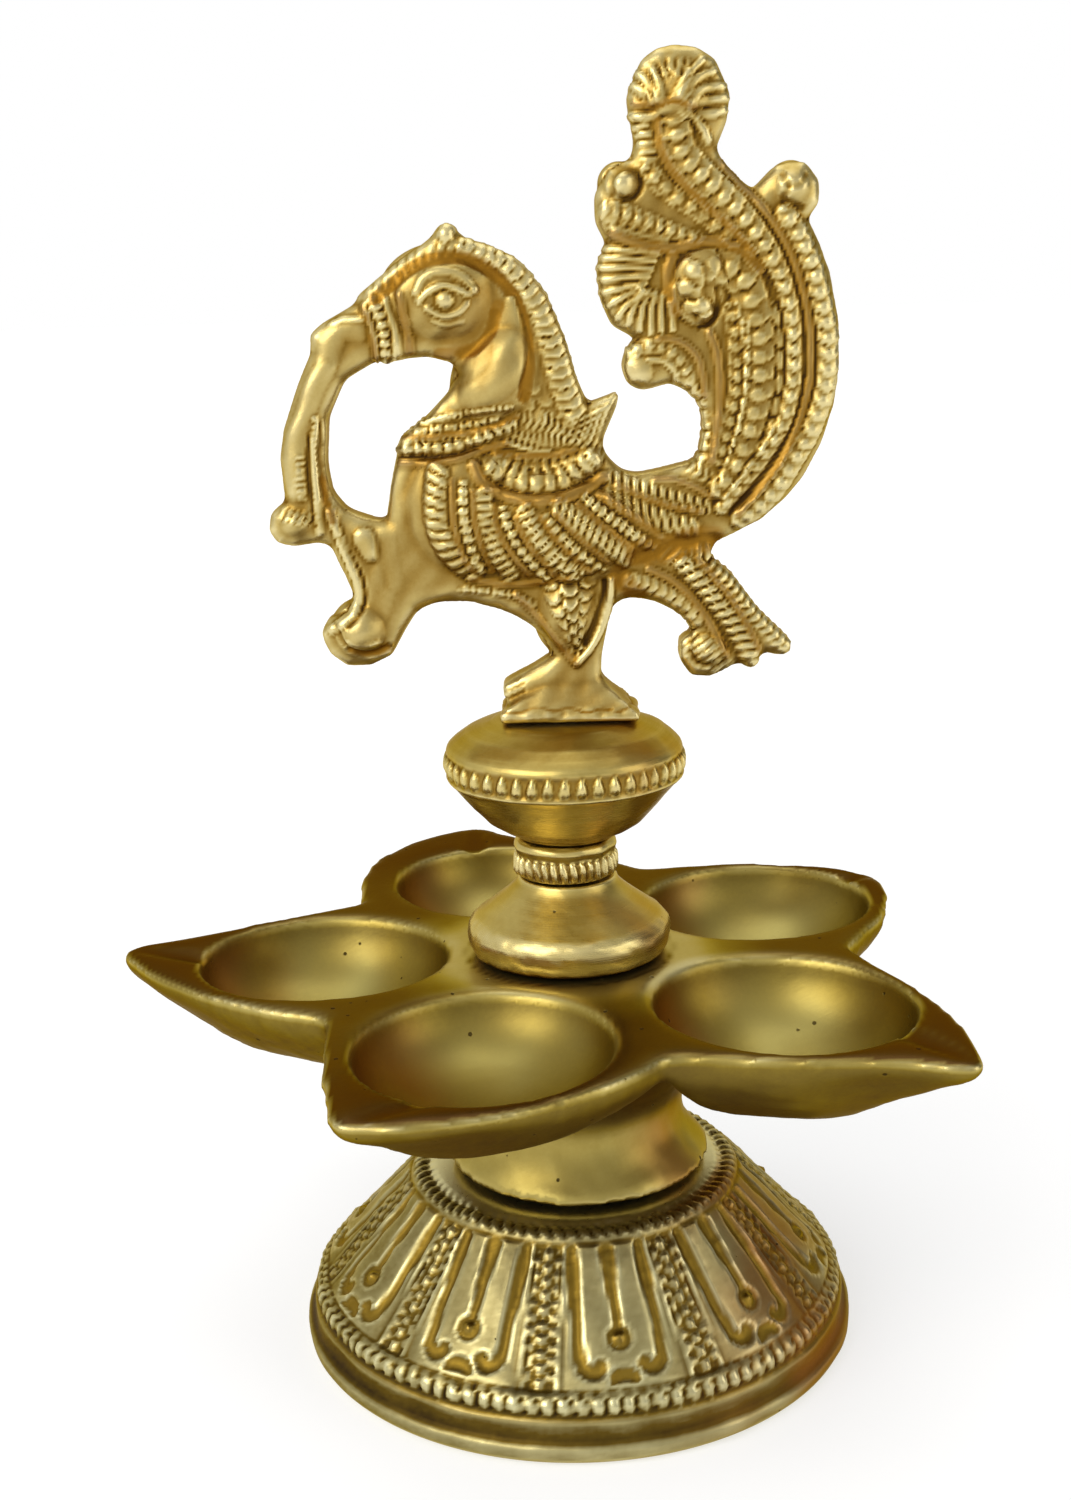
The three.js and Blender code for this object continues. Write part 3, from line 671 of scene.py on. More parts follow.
castLook = {
    "colours": [
        (0.1, (58, 36, 8)), (0.32, (120, 88, 24)), (0.48, (154, 126, 62)), (0.64, (184, 162, 98)),
        (0.88, (214, 198, 142)),
    ],
    "stainedAndShaded": (140, 98, 24),
    "rubbedAndHighlight": (208, 196, 152),
    "warmReflection": (170, 116, 40),
    "grazing": (215, 195, 150),
    "cloud": 0.06, "cloudy": 0.16, "specky": 0.1,
    "marks": "filed", "fine": 5.0, "markRough": 0.16, "markDepth": 0.016, "speckDepth": 0.03,
    "pitScale": 0.9, "pitShare": 0.05, "pitDepth": 0.05,
    "dull": 0.5, "bright": 0.3,
}
baseLook = {
    "colours": [
        (0.1, (46, 32, 8)), (0.32, (98, 78, 26)), (0.48, (142, 130, 84)), (0.64, (176, 165, 116)),
        (0.88, (208, 200, 152)),
    ],
    "stainedAndShaded": (132, 106, 36),
    "rubbedAndHighlight": (190, 180, 132),
    "warmReflection": (140, 86, 34),
    "grazing": (215, 195, 150),
    "cloud": 0.045, "cloudy": 0.14, "specky": 0.05,
    "marks": "filed", "fine": 4.0, "markRough": 0.14, "markDepth": 0.008, "speckDepth": 0.01,
    "pitScale": 0.6, "pitShare": 0.05, "pitDepth": 0.06,
    "dull": 0.48, "bright": 0.3,
}
dishLook = {
    **baseLook,
    "colours": [
        (0.12, (46, 32, 16)), (0.33, (90, 71, 34)), (0.48, (134, 114, 46)), (0.64, (172, 154, 85)),
        (0.88, (214, 202, 148)),
    ],
    # on the dish, the stained colour below is painted dark reflection and shade, the rubbed colour a painted highlight
    # in the bowls, and the warm colour a painted warm reflection
    "stainedAndShaded": (76, 51, 27),
    "rubbedAndHighlight": (178, 168, 102),
    "warmReflection": (160, 104, 48),
    "grazing": (200, 178, 128),
    "cloudy": 0.2, "specky": 0.06,
    "pitScale": 0.42, "pitShare": 0.3, "pitDepth": 0.08,
    "dull": 0.46, "bright": 0.32,
}
turnedLook = {
    "colours": [
        (0.1, (56, 34, 10)), (0.32, (110, 82, 24)), (0.48, (154, 128, 56)), (0.64, (188, 168, 98)),
        (0.88, (222, 206, 148)),
    ],
    "stainedAndShaded": (118, 82, 24),
    "rubbedAndHighlight": (206, 188, 130),
    "warmReflection": (164, 112, 40),
    "grazing": (215, 195, 150),
    "cloud": 0.06, "cloudy": 0.16, "specky": 0.08,
    "marks": "turned", "fine": 6.0, "markRough": 0.28, "markDepth": 0.022, "speckDepth": 0.014,
    "pitScale": 0.5, "pitShare": 0.06, "pitDepth": 0.06,
    "dull": 0.44, "bright": 0.26,
}
steelLook = {
    "colours": [
        (0.1, (40, 36, 32)), (0.3, (92, 88, 82)), (0.5, (150, 148, 144)), (0.7, (186, 186, 184)),
        (0.9, (214, 214, 214)),
    ],
    "stainedAndShaded": (120, 86, 54),
    "rubbedAndHighlight": (200, 200, 200),
    "warmReflection": (150, 100, 60),
    "grazing": (240, 240, 240),
    "cloud": 0.12, "cloudy": 0.22, "specky": 0.14,
    "marks": "turned", "fine": 5.0, "markRough": 0.2, "markDepth": 0.012, "speckDepth": 0.014,
    "pitScale": 0.8, "pitShare": 0.08, "pitDepth": 0.05,
    "dull": 0.55, "bright": 0.32,
}
castBrass = makeBrass("castBrass", castLook)
baseBrass = makeBrass("baseBrass", baseLook)
dishBrass = makeBrass("dishBrass", dishLook)
turnedBrass = makeBrass("turnedBrass", turnedLook)
zincSteel = makeBrass("zincSteel", steelLook)
print("finishes made")


def warmSideReflection(co, look):  # painted warm reflection: how much redder the metal is made on one side, in patches
    middle, wide, strength, level, size, seed = look
    side = hump(np.degrees(angleOf(co)), middle, wide)
    return strength * side * smoothStep(level + 0.6 * wavy(co, size, seed))


# Base: hollow bell with ten panels

base = {
    "steps": 360 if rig.quick else 840,
    "rim": [
        (40.6, 0), (41.8, 0.4), (42.35, 1.2), (42.5, 2.1), (42.45, 2.7), (42.2, 3.0), (41.7, 3.15),
        (41.35, 3.7), (41.2, 4.6), (41.15, 5.5), (41.2, 6.1),
    ],
    "flank": [
        (41.1, 6.3), (40.4, 6.5), (40.2, 7.1), (40.0, 8.7), (39.7, 9.1), (39.2, 9.3), (38.9, 9.5),
        (25.6, 24.0), (25.4, 24.3),
    ],
    "crown": [
        (25.3, 24.6), (25.1, 25.1), (24.4, 25.5), (22.6, 25.8), (22.1, 25.9), (21.8, 26.3), (21.3, 26.4),
    ],
    "rows": (0.5, 0.5, 0.4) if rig.quick else (0.5, 0.33, 0.25),
    "inside": [(4.3, 26.4), (4.3, 22.6), (21.4, 22.6), (24.0, 21.5), (36.3, 9.4), (38.2, 5.0), (38.2, 0)],
    "shell": (0.3, 22, 0.5),            # how far outward, from which radius and height, counts as outside
    "panels": 10,
    "turn": -98.6,
    "foot": (39.0, 9.4),
    "head": (25.4, 24.2),
    "slope": (0.74, 0, 0.68),           # the way a panel faces
    "panelEnds": (9.3, 24.7),
    "swell": (0.5, 14.0),               # height in the middle of a panel, and degrees to its strips
    # count, radius, height, half width, lift, start, slope of the ground, lean, seed
    "rings": [
        (110, 40.15, 7.8, 1.25, 0.8, 0, (-0.1, 1), 0.1, 3),
        (114, 39.5, 9.3, 0.55, 0.32, 0.5, (-0.5, 0.85), 0, 3),
        (80, 23.7, 25.7, 1.25, 0.5, 0, (-0.96, 0.28), 0.25, 6),
        (80, 22.2, 26.0, 0.45, 0.25, 0.5, (-0.96, 0.28), 0, 6),
    ],
    "polish": [(24.5, 0.45, 0.8), (6.3, 0.35, 0.6)],      # height, spread and tint of ledges with old polish
    "ledge": (0.3, 23.2),               # lighter inside this radius: painted light on the ledge under the collar
    "band": (0.13, 6.4),                # darker below this height
    "left": (0.07, -95, 30),            # darker round to the left: painted shade
    "highRing": (0.06, 25.0, 23),       # darker on the upper ring
    "lowRing": (0.09, 6.4, 9.6),        # darker on the lower ring
    "warmSideReflection": (-28, 26, 0.75, 0.75, 24, 11),
}


def onBell(degrees, share):
    (r1, z1), (r2, z2) = base["foot"], base["head"]
    r, t = r1 + (r2 - r1) * share, math.radians(degrees)
    return (r * math.cos(t), r * math.sin(t), z1 + (z2 - z1) * share)


def bell(points):  # turn and share on a panel, to places on the bell
    return [onBell(a, s) for a, s in points]


def beside(middle, gap, shares):  # a line that runs a fixed distance beside another
    return [onBell(middle + math.degrees(gap / math.hypot(*onBell(0, s)[:2])), s) for s in shares]


hook = [
    (10.9, 0.975), (10.2, 0.7), (9.7, 0.45), (9.4, 0.3), (8.8, 0.19), (7.5, 0.14), (6.0, 0.13), (4.9, 0.165),
]
panelRelief = [
    (bell(hook), ("trough", (0.9, 1.1, 0.95, 0.75, 0.65, 0.75, 1.0, 1.1), 0.58)),
    # stalk that narrows towards a ball in a ring
    (bell([(0, 0.965), (0.1, 0.7), (0, 0.43)]), ("trough", (1.3, 1.0, 0.65, 0.5), 0.58)),
    (bell([(0, 0.36), (0, 0.35)]), ("trough", 1.7, 0.55), ("band", 1.0, 1.1)),
    # half moon under it
    (bell([(0, 0.105), (1.3, 0.1), (2.9, 0.05)]), ("trough", (1.15, 1.0, 0.3), 0.55)),
    # strip of beads between two panels
    (beside(18, 0, (1.0, 0.5, 0.0)), ("sunk", 2.15, 0.3), ("stain", 1.9, 0.45)),
    (beside(18, 0, (0.99, 0.5, 0.01)), ("bead", 0.95, 0.8, 2.05, 0)),
    (beside(18, -1.35, (0.94, 0.5, 0.06)), ("bead", 0.62, 0.6, 2.05, 0)),
    (beside(18, -2.4, (1.0, 0.5, 0.0)), ("band", 0.4, 0.25)),
]


def onPanels(co):  # every panel and its mirror half laid on one half panel
    step = 360 / base["panels"]
    angle = np.degrees(angleOf(co)) - base["turn"] + 0.3 * wavy(co, 26, 4)
    local = np.radians(np.abs((angle % step) - step / 2))
    r = radiusOf(co)
    return np.stack([r * np.cos(local), r * np.sin(local), co[:, 2]], 1)


def ringOfBeads(co, ring):
    count, radius, z, half, lift, start, slope, lean, seed = ring
    out, up = radiusOf(co) - radius, co[:, 2] - z
    across = (out * slope[0] + up * slope[1]) / half
    gap = np.abs(out * slope[1] - up * slope[0])
    near = np.nonzero((np.abs(across) < 1.5) & (gap < half * 2.2))[0]
    across = across[near]
    turn = angleOf(co[near]) / 2 / np.pi * count
    turn += start + lean * across + 0.1 * wavy(co[near], 9, seed)
    luck = chanceAt(np.floor(turn), seed)
    f = (fraction(turn) - 0.5) * 2 / (0.92 + 0.12 * luck)
    h = np.clip(1 - f * f - (across - 0.16 * (luck - 0.5)) ** 2, 0, 1) ** 0.55
    return near, np.minimum(h, 0.92) * lift * (0.75 + 0.3 * luck)


# painted light on the ledge under the collar and painted shade to the left; also darker under the rim's top and on the
# bead rings
def baseShadeAndTone(co):
    r, z = radiusOf(co), co[:, 2]
    gain, inside = base["ledge"]
    wearAndShade = gain * below(r, inside, 1.5)
    loss, top = base["band"]
    wearAndShade -= loss * below(z, top, 2)
    loss, start, run = base["left"]
    wearAndShade -= loss * smoothStep((start - np.degrees(angleOf(co))) / run)
    loss, low, inside = base["highRing"]
    wearAndShade -= loss * above(z, low, 2) * (r > inside)
    loss, low, high = base["lowRing"]
    return wearAndShade - loss * above(z, low, 3) * below(z, high, 3)


def makeBase():
    runs = zip(base["rows"], (base["rim"], base["flank"], base["crown"]))
    outer = softened(np.vstack([sections(points, step) for step, points in runs]), 1)
    inner = sections(base["inside"], 4)
    obj = turned("baseBell", np.vstack([outer, inner]), base["steps"])
    co, n = places(obj.data), normals(obj.data)
    height, tint, warmReflection, extra = (np.zeros(len(co)) for _ in range(4))
    r = radiusOf(co)
    outward, inmost, lowest = base["shell"]
    facing = n[:, 2] + (n[:, 0] * co[:, 0] + n[:, 1] * co[:, 1]) / r
    outside = np.nonzero((facing > outward) & (r > inmost) & (co[:, 2] > lowest))[0]
    shell = co[outside]
    folded, level, stain = onPanels(shell), np.zeros(len(outside)), np.zeros(len(outside))
    chase(folded, panelRelief, level, stain, facing=base["slope"])
    low, high = base["panelEnds"]
    panel = above(shell[:, 2], low, 2) * below(shell[:, 2], high, 2)
    level *= panel * (0.95 + 0.12 * wavy(shell, 18, 7))
    lift, end = base["swell"]
    level += lift * panel * np.clip(1 - (np.degrees(angleOf(folded)) / end) ** 2, 0, 1)
    stain *= panel
    for ring in base["rings"]:
        near, h = ringOfBeads(shell, ring)
        level[near] += h
    # the floor of troughs and strips is rough
    level += (0.015 + 0.05 * stain) * wavy(shell, 1.6, 9) + 0.12 * wavy(shell, 9, 2)
    ledges = [hump(shell[:, 2], z, wide) * most for z, wide, most in base["polish"]]
    height[outside] = level
    tint[outside] = np.maximum.reduce([stain, *ledges])
    setPlaces(obj.data, co + n * height[:, None])
    setValues(obj.data, "tint", tint)
    # painted warm reflection on the right front of the bell
    warmReflection[outside] = warmSideReflection(shell, base["warmSideReflection"])
    setValues(obj.data, "warmReflection", warmReflection)
    extra[outside] = baseShadeAndTone(shell)
    markWearAndShade(obj, 5, 45, (2.0, 0.4), extra)
    finishPiece(obj, "stand", ["base"], "cast_brass", baseBrass)


makeBase()


# Oil dish: five cups cut by hand, each a little different

dish = {
    "voxel": 0.9 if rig.quick else 0.45,
    "reach": 37.1,
    "rim": 60.0,
    "bowl": (18.7, 17.5, 13.0),
    "floor": 1.8,
    "turn": 179.5,
    "notch": (33.4, 25.0),
    "innerEdge": [(23, 17.2), (13, 10), (13, -10), (23, -17.2)],
    "step": 0.8,
    # tip of the spout, corners of the side that swells and of the straight side
    "cups": [
        {"spout": (69.3, -5.4), "full": [(62.6, 6), (54, 14), (44, 20.2)],
         "straight": [(50, -16.4), (62, -9.6)], "deeper": 0, "rise": 1.4},
        {"spout": (65.4, -8.6), "full": [(61.6, 2.4), (55.6, 10.8), (44.4, 20)],
         "straight": [(50, -18), (60.5, -12.8)], "deeper": -1.6, "rise": 2.0},
        {"spout": (69.4, -5.2), "full": [(61, 7), (52.5, 14), (42.5, 19.6)],
         "straight": [(49, -16.4), (62, -9)], "deeper": 0.8, "rise": 3.0},
        {"spout": (62.2, -2.6), "full": [(58.4, 7.6), (50.6, 15.4), (42, 20.8)],
         "straight": [(48, -18), (56.6, -11.4)], "deeper": 0, "rise": 3.2},
        {"spout": (70.4, -4), "full": [(65.2, 9.4), (55.4, 18.4), (45, 22.6)],
         "straight": [(50, -16.4), (62, -9.6)], "deeper": 0, "rise": 3.2},
    ],
    "hull": [(1, 0), (1, 0.16), (0.95, 0.31), (0.85, 0.48), (0.7, 0.68), (0.47, 0.87), (0.2, 1)],
    "collar": [
        (20.9, 26.7), (20.8, 27.3), (20.0, 28.4), (18.2, 30.6), (16.6, 34), (16.5, 37.2), (17.6, 40.5),
        (20.6, 44.2), (24.6, 48.7), (30, 57), (30, 60), (4.3, 60), (4.3, 51), (12.1, 50.4), (13.8, 47),
        (13.8, 34.3), (16.8, 26.7),
    ],
    "channel": (3.0, 1.1, 1.3, 0.5),    # half width and depth of the spout, at the bowl and at the tip
    "relaxed": 6 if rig.quick else 14,   # rounds that even out the spouts' edges
    "rise": (8.4, 20.7, 6, 8, 0.6),     # where the hull rises towards the spout, and falls off again
    "aside": (0.8, 34, 7),              # how far the collar was cast to one side, and below what height
    "uneven": [(0.12, 16, 5), (0.04, 4, 6)],
    "pitted": (0.05, -24, 8),           # the left-hand cup is pitted below its rim
    "bowlWallReflection": (-0.9, -0.3, 1.1, 0.75),   # painted warm reflection: the left and near walls of a bowl are made orange-brown
    "farWallHighlight": (0.05, 0.4, 0.62, 0.3, 0.7),        # and its far wall gets a painted highlight: middle and spread both ways
    # painted dark reflection on the flat rims: least, and more from 19 mm and from 36 mm out
    "flatDarkReflection": (0.1, 0.7, 0.2),
    "footContactShadow": (15.4, 0.4, 0.8),           # painted contact shadow round the foot of the stem: radius, spread, tint
    "slitShade": (-118, 12, 27.7),           # painted shade in the slit under the collar: degrees, spread, height
    "warmSideReflection": (-35, 22, 0.6, 0.6, 14, 12),
}


def cupTurn(k):
    return math.radians(dish["turn"] + 360 / len(dish["cups"]) * k)


def riseAt(x, down, cup):
    start, end, depth, run, fall = dish["rise"]
    tip = cup["spout"][0]
    grown = smoothStep((x - dish["reach"] - start) / (end - start))
    return cup["rise"] * grown * (1 - fall * smoothStep((x - tip + run) / run)) * min(1, down / depth)


def cupSolid(cup):
    x, y = cup["spout"]
    far, side = dish["notch"]
    full = smoothLine([(x, y), (x - 0.8, y + 2.6), *cup["full"], (far, side)], dish["step"])
    corners = [(far, -side), *cup["straight"], (x - 1.2, y - 1.8), (x, y)]
    straight = softened(sections(corners, dish["step"]), 3)
    outline = np.vstack([full, dish["innerEdge"], straight[:-1]])
    depth = dish["bowl"][2] + cup["deeper"] + dish["floor"]
    levels = smoothLine(dish["hull"], 0.07)
    bm = bmesh.new()
    verts = [bm.verts.new((a, b, dish["rim"])) for a, b in outline]
    edges = [bm.edges.new(pair) for pair in zip(verts, verts[1:] + verts[:1])]
    middle = Matrix.Translation((-dish["reach"], 0, 0))
    for (was, before), (now, down) in zip(levels, levels[1:]):
        made = bmesh.ops.extrude_edge_only(bm, edges=edges)["geom"]
        ring = vertsIn(made)
        edges = [g for g in made if isinstance(g, bmesh.types.BMEdge)]
        bmesh.ops.scale(bm, vec=(now / was, now / was, 1), space=middle, verts=ring)
        bmesh.ops.translate(bm, vec=(0, 0, -depth * (down - before)), verts=ring)
    for v in bm.verts:
        v.co.z += riseAt(v.co.x, dish["rim"] - v.co.z, cup)
    bmesh.ops.holes_fill(bm, edges=bm.edges, sides=0)
    bmesh.ops.triangulate(bm, faces=[f for f in bm.faces if len(f.verts) > 4])
    bmesh.ops.recalc_face_normals(bm, faces=bm.faces)
    return bm


def cupHollow(cup, turn, name):
    long, wide, deep = dish["bowl"]
    bm = bmesh.new()
    bowl = bmesh.ops.create_uvsphere(bm, u_segments=96, v_segments=64, radius=1)["verts"]
    bmesh.ops.scale(bm, vec=(long, wide, deep + cup["deeper"]), verts=bowl)
    bmesh.ops.translate(bm, vec=(dish["reach"], 0, dish["rim"]), verts=bowl)
    turnVerts(bm, bm.verts, turn, "Z")
    return meshFrom(bm, name)


def dishBody():
    bm = bmesh.new()
    for k, cup in enumerate(dish["cups"]):
        solid = cupSolid(cup)
        turnVerts(solid, solid.verts, cupTurn(k), "Z")
        hold = bpy.data.meshes.new("cup")
        solid.to_mesh(hold)
        solid.free()
        bm.from_mesh(hold)
        bpy.data.meshes.remove(hold)
    collar = turned("collar", softened(sections(dish["collar"], 0.8), 2, True), 160)
    bm.from_mesh(collar.data)
    bpy.data.objects.remove(collar)
    obj = remesh(meshFrom(bm, "oilDish"), dish["voxel"], 3)
    for k, cup in enumerate(dish["cups"]):
        cut(obj, cupHollow(cup, cupTurn(k), "hollow"))
    return remesh(obj, dish["voxel"], 10)


def makeDish():
    obj = dishBody()
    co, n = places(obj.data), normals(obj.data)
    long, across = dish["bowl"][:2]
    bowled, farWallHighlight, warmReflection, lip, channel, spout = (np.zeros(len(co)) for _ in range(6))
    wide, narrow, deep, shallow = dish["channel"]
    toRight, toBack, sharp, bowlWallReflection = dish["bowlWallReflection"]
    middle, spreadX, far, spreadY, rubbedAndHighlight = dish["farWallHighlight"]
    for k, cup in enumerate(dish["cups"]):
        turn = cupTurn(k)
        x = co[:, 0] * math.cos(turn) + co[:, 1] * math.sin(turn) - dish["reach"]
        y = co[:, 1] * math.cos(turn) - co[:, 0] * math.sin(turn)
        out = np.hypot(x / long, y / across)
        inside = below(out, 1.04, 12) * (n[:, 2] > 0)
        bowled = np.maximum(bowled, inside)
        right = (co[:, 0] - dish["reach"] * math.cos(turn)) / long
        back = (co[:, 1] - dish["reach"] * math.sin(turn)) / across
        drift = 0.2 * wavy(co, 17, 60 + k)
        # painted warm reflection on the left and near walls of each bowl
        warmReflection = np.maximum(warmReflection, inside * smoothStep((toRight * right + toBack * back + drift) * sharp))
        # painted highlight on the far wall of each bowl
        patch = ((right - middle + drift) / spreadX) ** 2 + ((back - far) / spreadY) ** 2
        farWallHighlight = np.maximum(farWallHighlight, inside * np.exp(-patch))
        # channel from the bowl to the tip of the spout
        start, end = long * 0.9, cup["spout"][0] - dish["reach"]
        run = np.clip((x - start) / (end - start), 0, 1)
        off = np.abs(y - cup["spout"][1] * run) / (wide + (narrow - wide) * run)
        there = (x > long * 0.7) & (out < 3)
        spout = np.maximum(spout, there * (out > 1.03) * (np.abs(y) < 15))
        depth = (deep + (shallow - deep) * run) * below(off, 1.15, 1.1)
        channel = np.maximum(channel, depth * there)
        lip = np.maximum(lip, hump(off, 1.05, 0.16) * there * (out > 1))
    under = below(co[:, 2], 59.2, 1.2) * (1 - bowled)
    height = uneven(co, dish["uneven"]) * (1 - 0.9 * bowled) * (0.3 + 0.7 * under)
    lift, side, run = dish["pitted"]
    height += lift * under * smoothStep((side - co[:, 0]) / run) * wavy(co, 2.4, 15)
    co = co + n * height[:, None]
    co[:, 2] = np.minimum(co[:, 2], dish["rim"] - channel)
    shift, top, run = dish["aside"]
    co[:, 0] += shift * smoothStep((top - co[:, 2]) / run)
    setPlaces(obj.data, co)
    evenOut(obj, spout > 0, dish["relaxed"])
    flat = above(n[:, 2], 0.55, 2.6) * (1 - bowled) * above(co[:, 2], 57.6, 2)
    edge = hump(co[:, 2], 59.2, 0.55) * (1 - bowled) * below(n[:, 2], 0.95, 3)
    r = radiusOf(co)
    # painted dark reflection on the flats, darker further out
    least, mid, outer = dish["flatDarkReflection"]
    old = flat * (least + mid * smoothStep((r - 19) / 12) + outer * smoothStep((r - 36) / 24))
    # painted contact shadow in a ring round the foot of the stem
    radius, shadowSpread, most = dish["footContactShadow"]
    ring = most * hump(r, radius, shadowSpread) * flat
    # painted shade in the slit under the collar, to the front left
    degrees, slitSpread, top = dish["slitShade"]
    slitShade = hump(np.degrees(angleOf(co)), degrees, slitSpread) * below(co[:, 2], top, 2)
    # the dish's positive tint is all painted shade and dark reflection; its negative tint is the painted highlight in
    # the bowls
    dark = np.maximum.reduce([old, ring, slitShade])
    setValues(obj.data, "tint", np.where(farWallHighlight > 0.05, -rubbedAndHighlight * farWallHighlight, dark))
    collar = smoothStep((40 - co[:, 2]) / 4)
    setValues(obj.data, "warmReflection", np.maximum(warmReflection * bowlWallReflection, collar * warmSideReflection(co, dish["warmSideReflection"])))
    broken = smoothStep(0.7 + 0.5 * wavy(co, 9, 8))
    # painted shade: the hull's underside is darker; the collar is made lighter
    extra = -0.02 * bowled - 0.13 * under * (1 - collar) + 0.1 * collar
    # painted highlights: broken bright lines along the rim's outer edge and along the channels' edges
    extra += (0.2 * edge + 0.3 * lip * flat) * broken
    # painted light on the flats round the stem's foot, against the shade there
    extra += 0.22 * flat * smoothStep((24 - r) / 6)
    markWearAndShade(obj, 4, 30, (0.5, 0.12), extra)
    finishPiece(obj, "dish", ["oil_dish"], "dish_brass", dishBrass)


makeDish()


# Stem: foot, ribbed ring and knob

stem = {
    "foot": [
        (4.3, 60.3), (13.4, 60.3), (14.3, 60.7), (14.9, 61.6), (15.2, 62.8), (15.2, 63.9), (14.9, 65.0),
        (14.1, 65.9), (12.9, 66.7), (9.9, 69.0), (8.5, 70.2), (7.8, 70.9), (7.5, 71.5), (7.3, 72.1),
        (4.3, 72.1),
    ],
    "footUneven": [(0.07, 9, 21)],
    "footWarmReflection": (-30, 28, 0.7, 0.5, 12, 13),
    "ring": [
        (4.8, 72.4), (6.8, 72.4), (7.2, 72.6), (7.4, 73.3), (7.4, 75.2), (7.3, 75.8), (7.4, 76.3),
        (7.7, 76.9), (7.5, 77.6), (7.0, 78.0), (6.6, 78.1), (4.8, 78.1),
    ],
    "ringOffset": -0.25,
    "ribs": 33,
    "ribMiddle": (74.2, 1.7),           # height and half length of the ribs
    "knob": [
        (4.3, 78.4), (7.3, 78.4), (7.9, 78.9), (9.4, 79.6), (11.4, 80.9), (14.2, 83.8), (16.9, 87.1),
        (17.5, 87.5), (17.6, 88.1), (17.2, 88.4), (17.3, 89.6), (17.2, 90.9), (17.5, 91.3), (17.2, 92.2),
        (16.2, 93.2), (14.4, 94.5), (12.0, 95.4), (10.6, 95.8), (10.2, 95.9), (9.6, 96.0), (0, 96.0),
    ],
    "knobWarmReflection": (-30, 28, 0.6, 0.5, 12, 14),
    "knobUneven": [(0.09, 10, 41), (0.02, 3, 43)],
    "hollow": [(0, 90.7), (4.3, 90.7)],
    "drops": 46,
    "dropMiddle": (89.65, 1.75, 1.55),  # height, half height of the band and of a drop
}


def makeFoot():
    foot = turned("stemFoot", softened(sections(stem["foot"], 0.4), 1, True), 240)
    co, n = places(foot.data), normals(foot.data)
    r, z = radiusOf(co), co[:, 2]
    band = below(z, 66.4, 1.2) * (r > 12)
    lift = uneven(co, stem["footUneven"]) + 0.06 * band * wavy(co, 5.5, 23)
    lift += (0.015 + 0.02 * band) * wavy(co * (1, 1, 1.6), 2.4, 22)
    lift *= (r > 6.5) & (z > 60.6)
    # painted shade along the foot's lowest edge, where it stands on the dish
    setValues(foot.data, "tint", np.clip((61.2 - z) * 1.5, 0, 1) * 0.9)
    setPlaces(foot.data, co + n * lift[:, None])
    # painted warm reflection on the foot's right front side
    setValues(foot.data, "warmReflection", warmSideReflection(places(foot.data), stem["footWarmReflection"]))
    markWearAndShade(foot, 4, 40, (1.2, 0.3), 0.11 + 0.08 * band)
    finishPiece(foot, "finial", ["stem_foot"], "turned_brass", turnedBrass)


def makeRing():
    ring = turned("neckRing", softened(sections(stem["ring"], 0.22), 1, True), 360)
    co, n = places(ring.data), normals(ring.data)
    middle, long = stem["ribMiddle"]
    z = co[:, 2]
    ribbed = above(z, 72.7, 2.5) * below(z, 75.9, 2) * (radiusOf(co) > 6.4)
    beat = angleOf(co) / 2 / np.pi * stem["ribs"] + 0.16 * wavy(co, 7, 31) + 0.06 * (z - middle)
    v = (z - middle) / long
    f = (fraction(beat) - 0.5) * 2 / (0.9 - 0.3 * v * v)
    rib = np.clip(1 - f**2 - 0.6 * v**2, 0, 1) ** 0.6
    bulge = above(z, 75.8, 2) * (z < 77.9)
    lift = (rib * (0.62 + 0.12 * wavy(co, 4, 34)) - 0.15) * ribbed + 0.1 * bulge * wavy(co, 3.2, 33)
    co = co + n * lift[:, None]
    co[:, 0] += stem["ringOffset"]
    setPlaces(ring.data, co)
    setValues(ring.data, "tint", smoothStep(1 - rib * 2) * ribbed * 0.75)
    markWearAndShade(ring, 4, 40, (1.8, 0.4), 0.25 - 0.14 * bulge)
    finishPiece(ring, "finial", ["neck_ring"], "turned_brass", turnedBrass)


def makeKnob():
    profile = np.vstack([softened(sections(stem["knob"], 0.34), 1), stem["hollow"]])
    knob = turned("stemKnob", profile, 460)
    co, n = places(knob.data), normals(knob.data)
    r, z = radiusOf(co), co[:, 2]
    lift = uneven(co, stem["knobUneven"]) * (r > 8) * (z < 95.7)
    middle, bandHalf, dropHalf = stem["dropMiddle"]
    band = np.nonzero((r > 16.6) & (np.abs(z - middle) < bandHalf))[0]
    belt = co[band]
    f = (fraction(angleOf(belt) / 2 / np.pi * stem["drops"] + 0.1 * wavy(belt, 14, 42)) - 0.5) * 2
    v = (belt[:, 2] - middle) / dropHalf
    drop = np.clip(1 - (f / (0.68 - 0.26 * v)) ** 2 - np.abs(v) ** 2.4, 0, 1) ** 0.6
    lift[band] += drop * (0.68 + 0.16 * wavy(belt, 6, 44))
    setPlaces(knob.data, co + n * lift[:, None])
    tint = np.zeros(len(co))
    tint[band] = np.clip(1 - drop * 3, 0, 1) * 0.5
    setValues(knob.data, "tint", tint)
    # painted warm reflection on the knob's right front side
    setValues(knob.data, "warmReflection", warmSideReflection(places(knob.data), stem["knobWarmReflection"]))
    # the lower cone is made lighter than the top: a painted reflection of the dish below it
    markWearAndShade(knob, 4, 50, (1.8, 0.4), np.where(z < 87.5, 0.21, np.where(z < 91.4, 0.08, 0.02)))
    finishPiece(knob, "finial", ["stem_knob"], "turned_brass", turnedBrass)


makeFoot()
makeRing()
makeKnob()


# Tie rod, washer and nut: steel, seen only from below

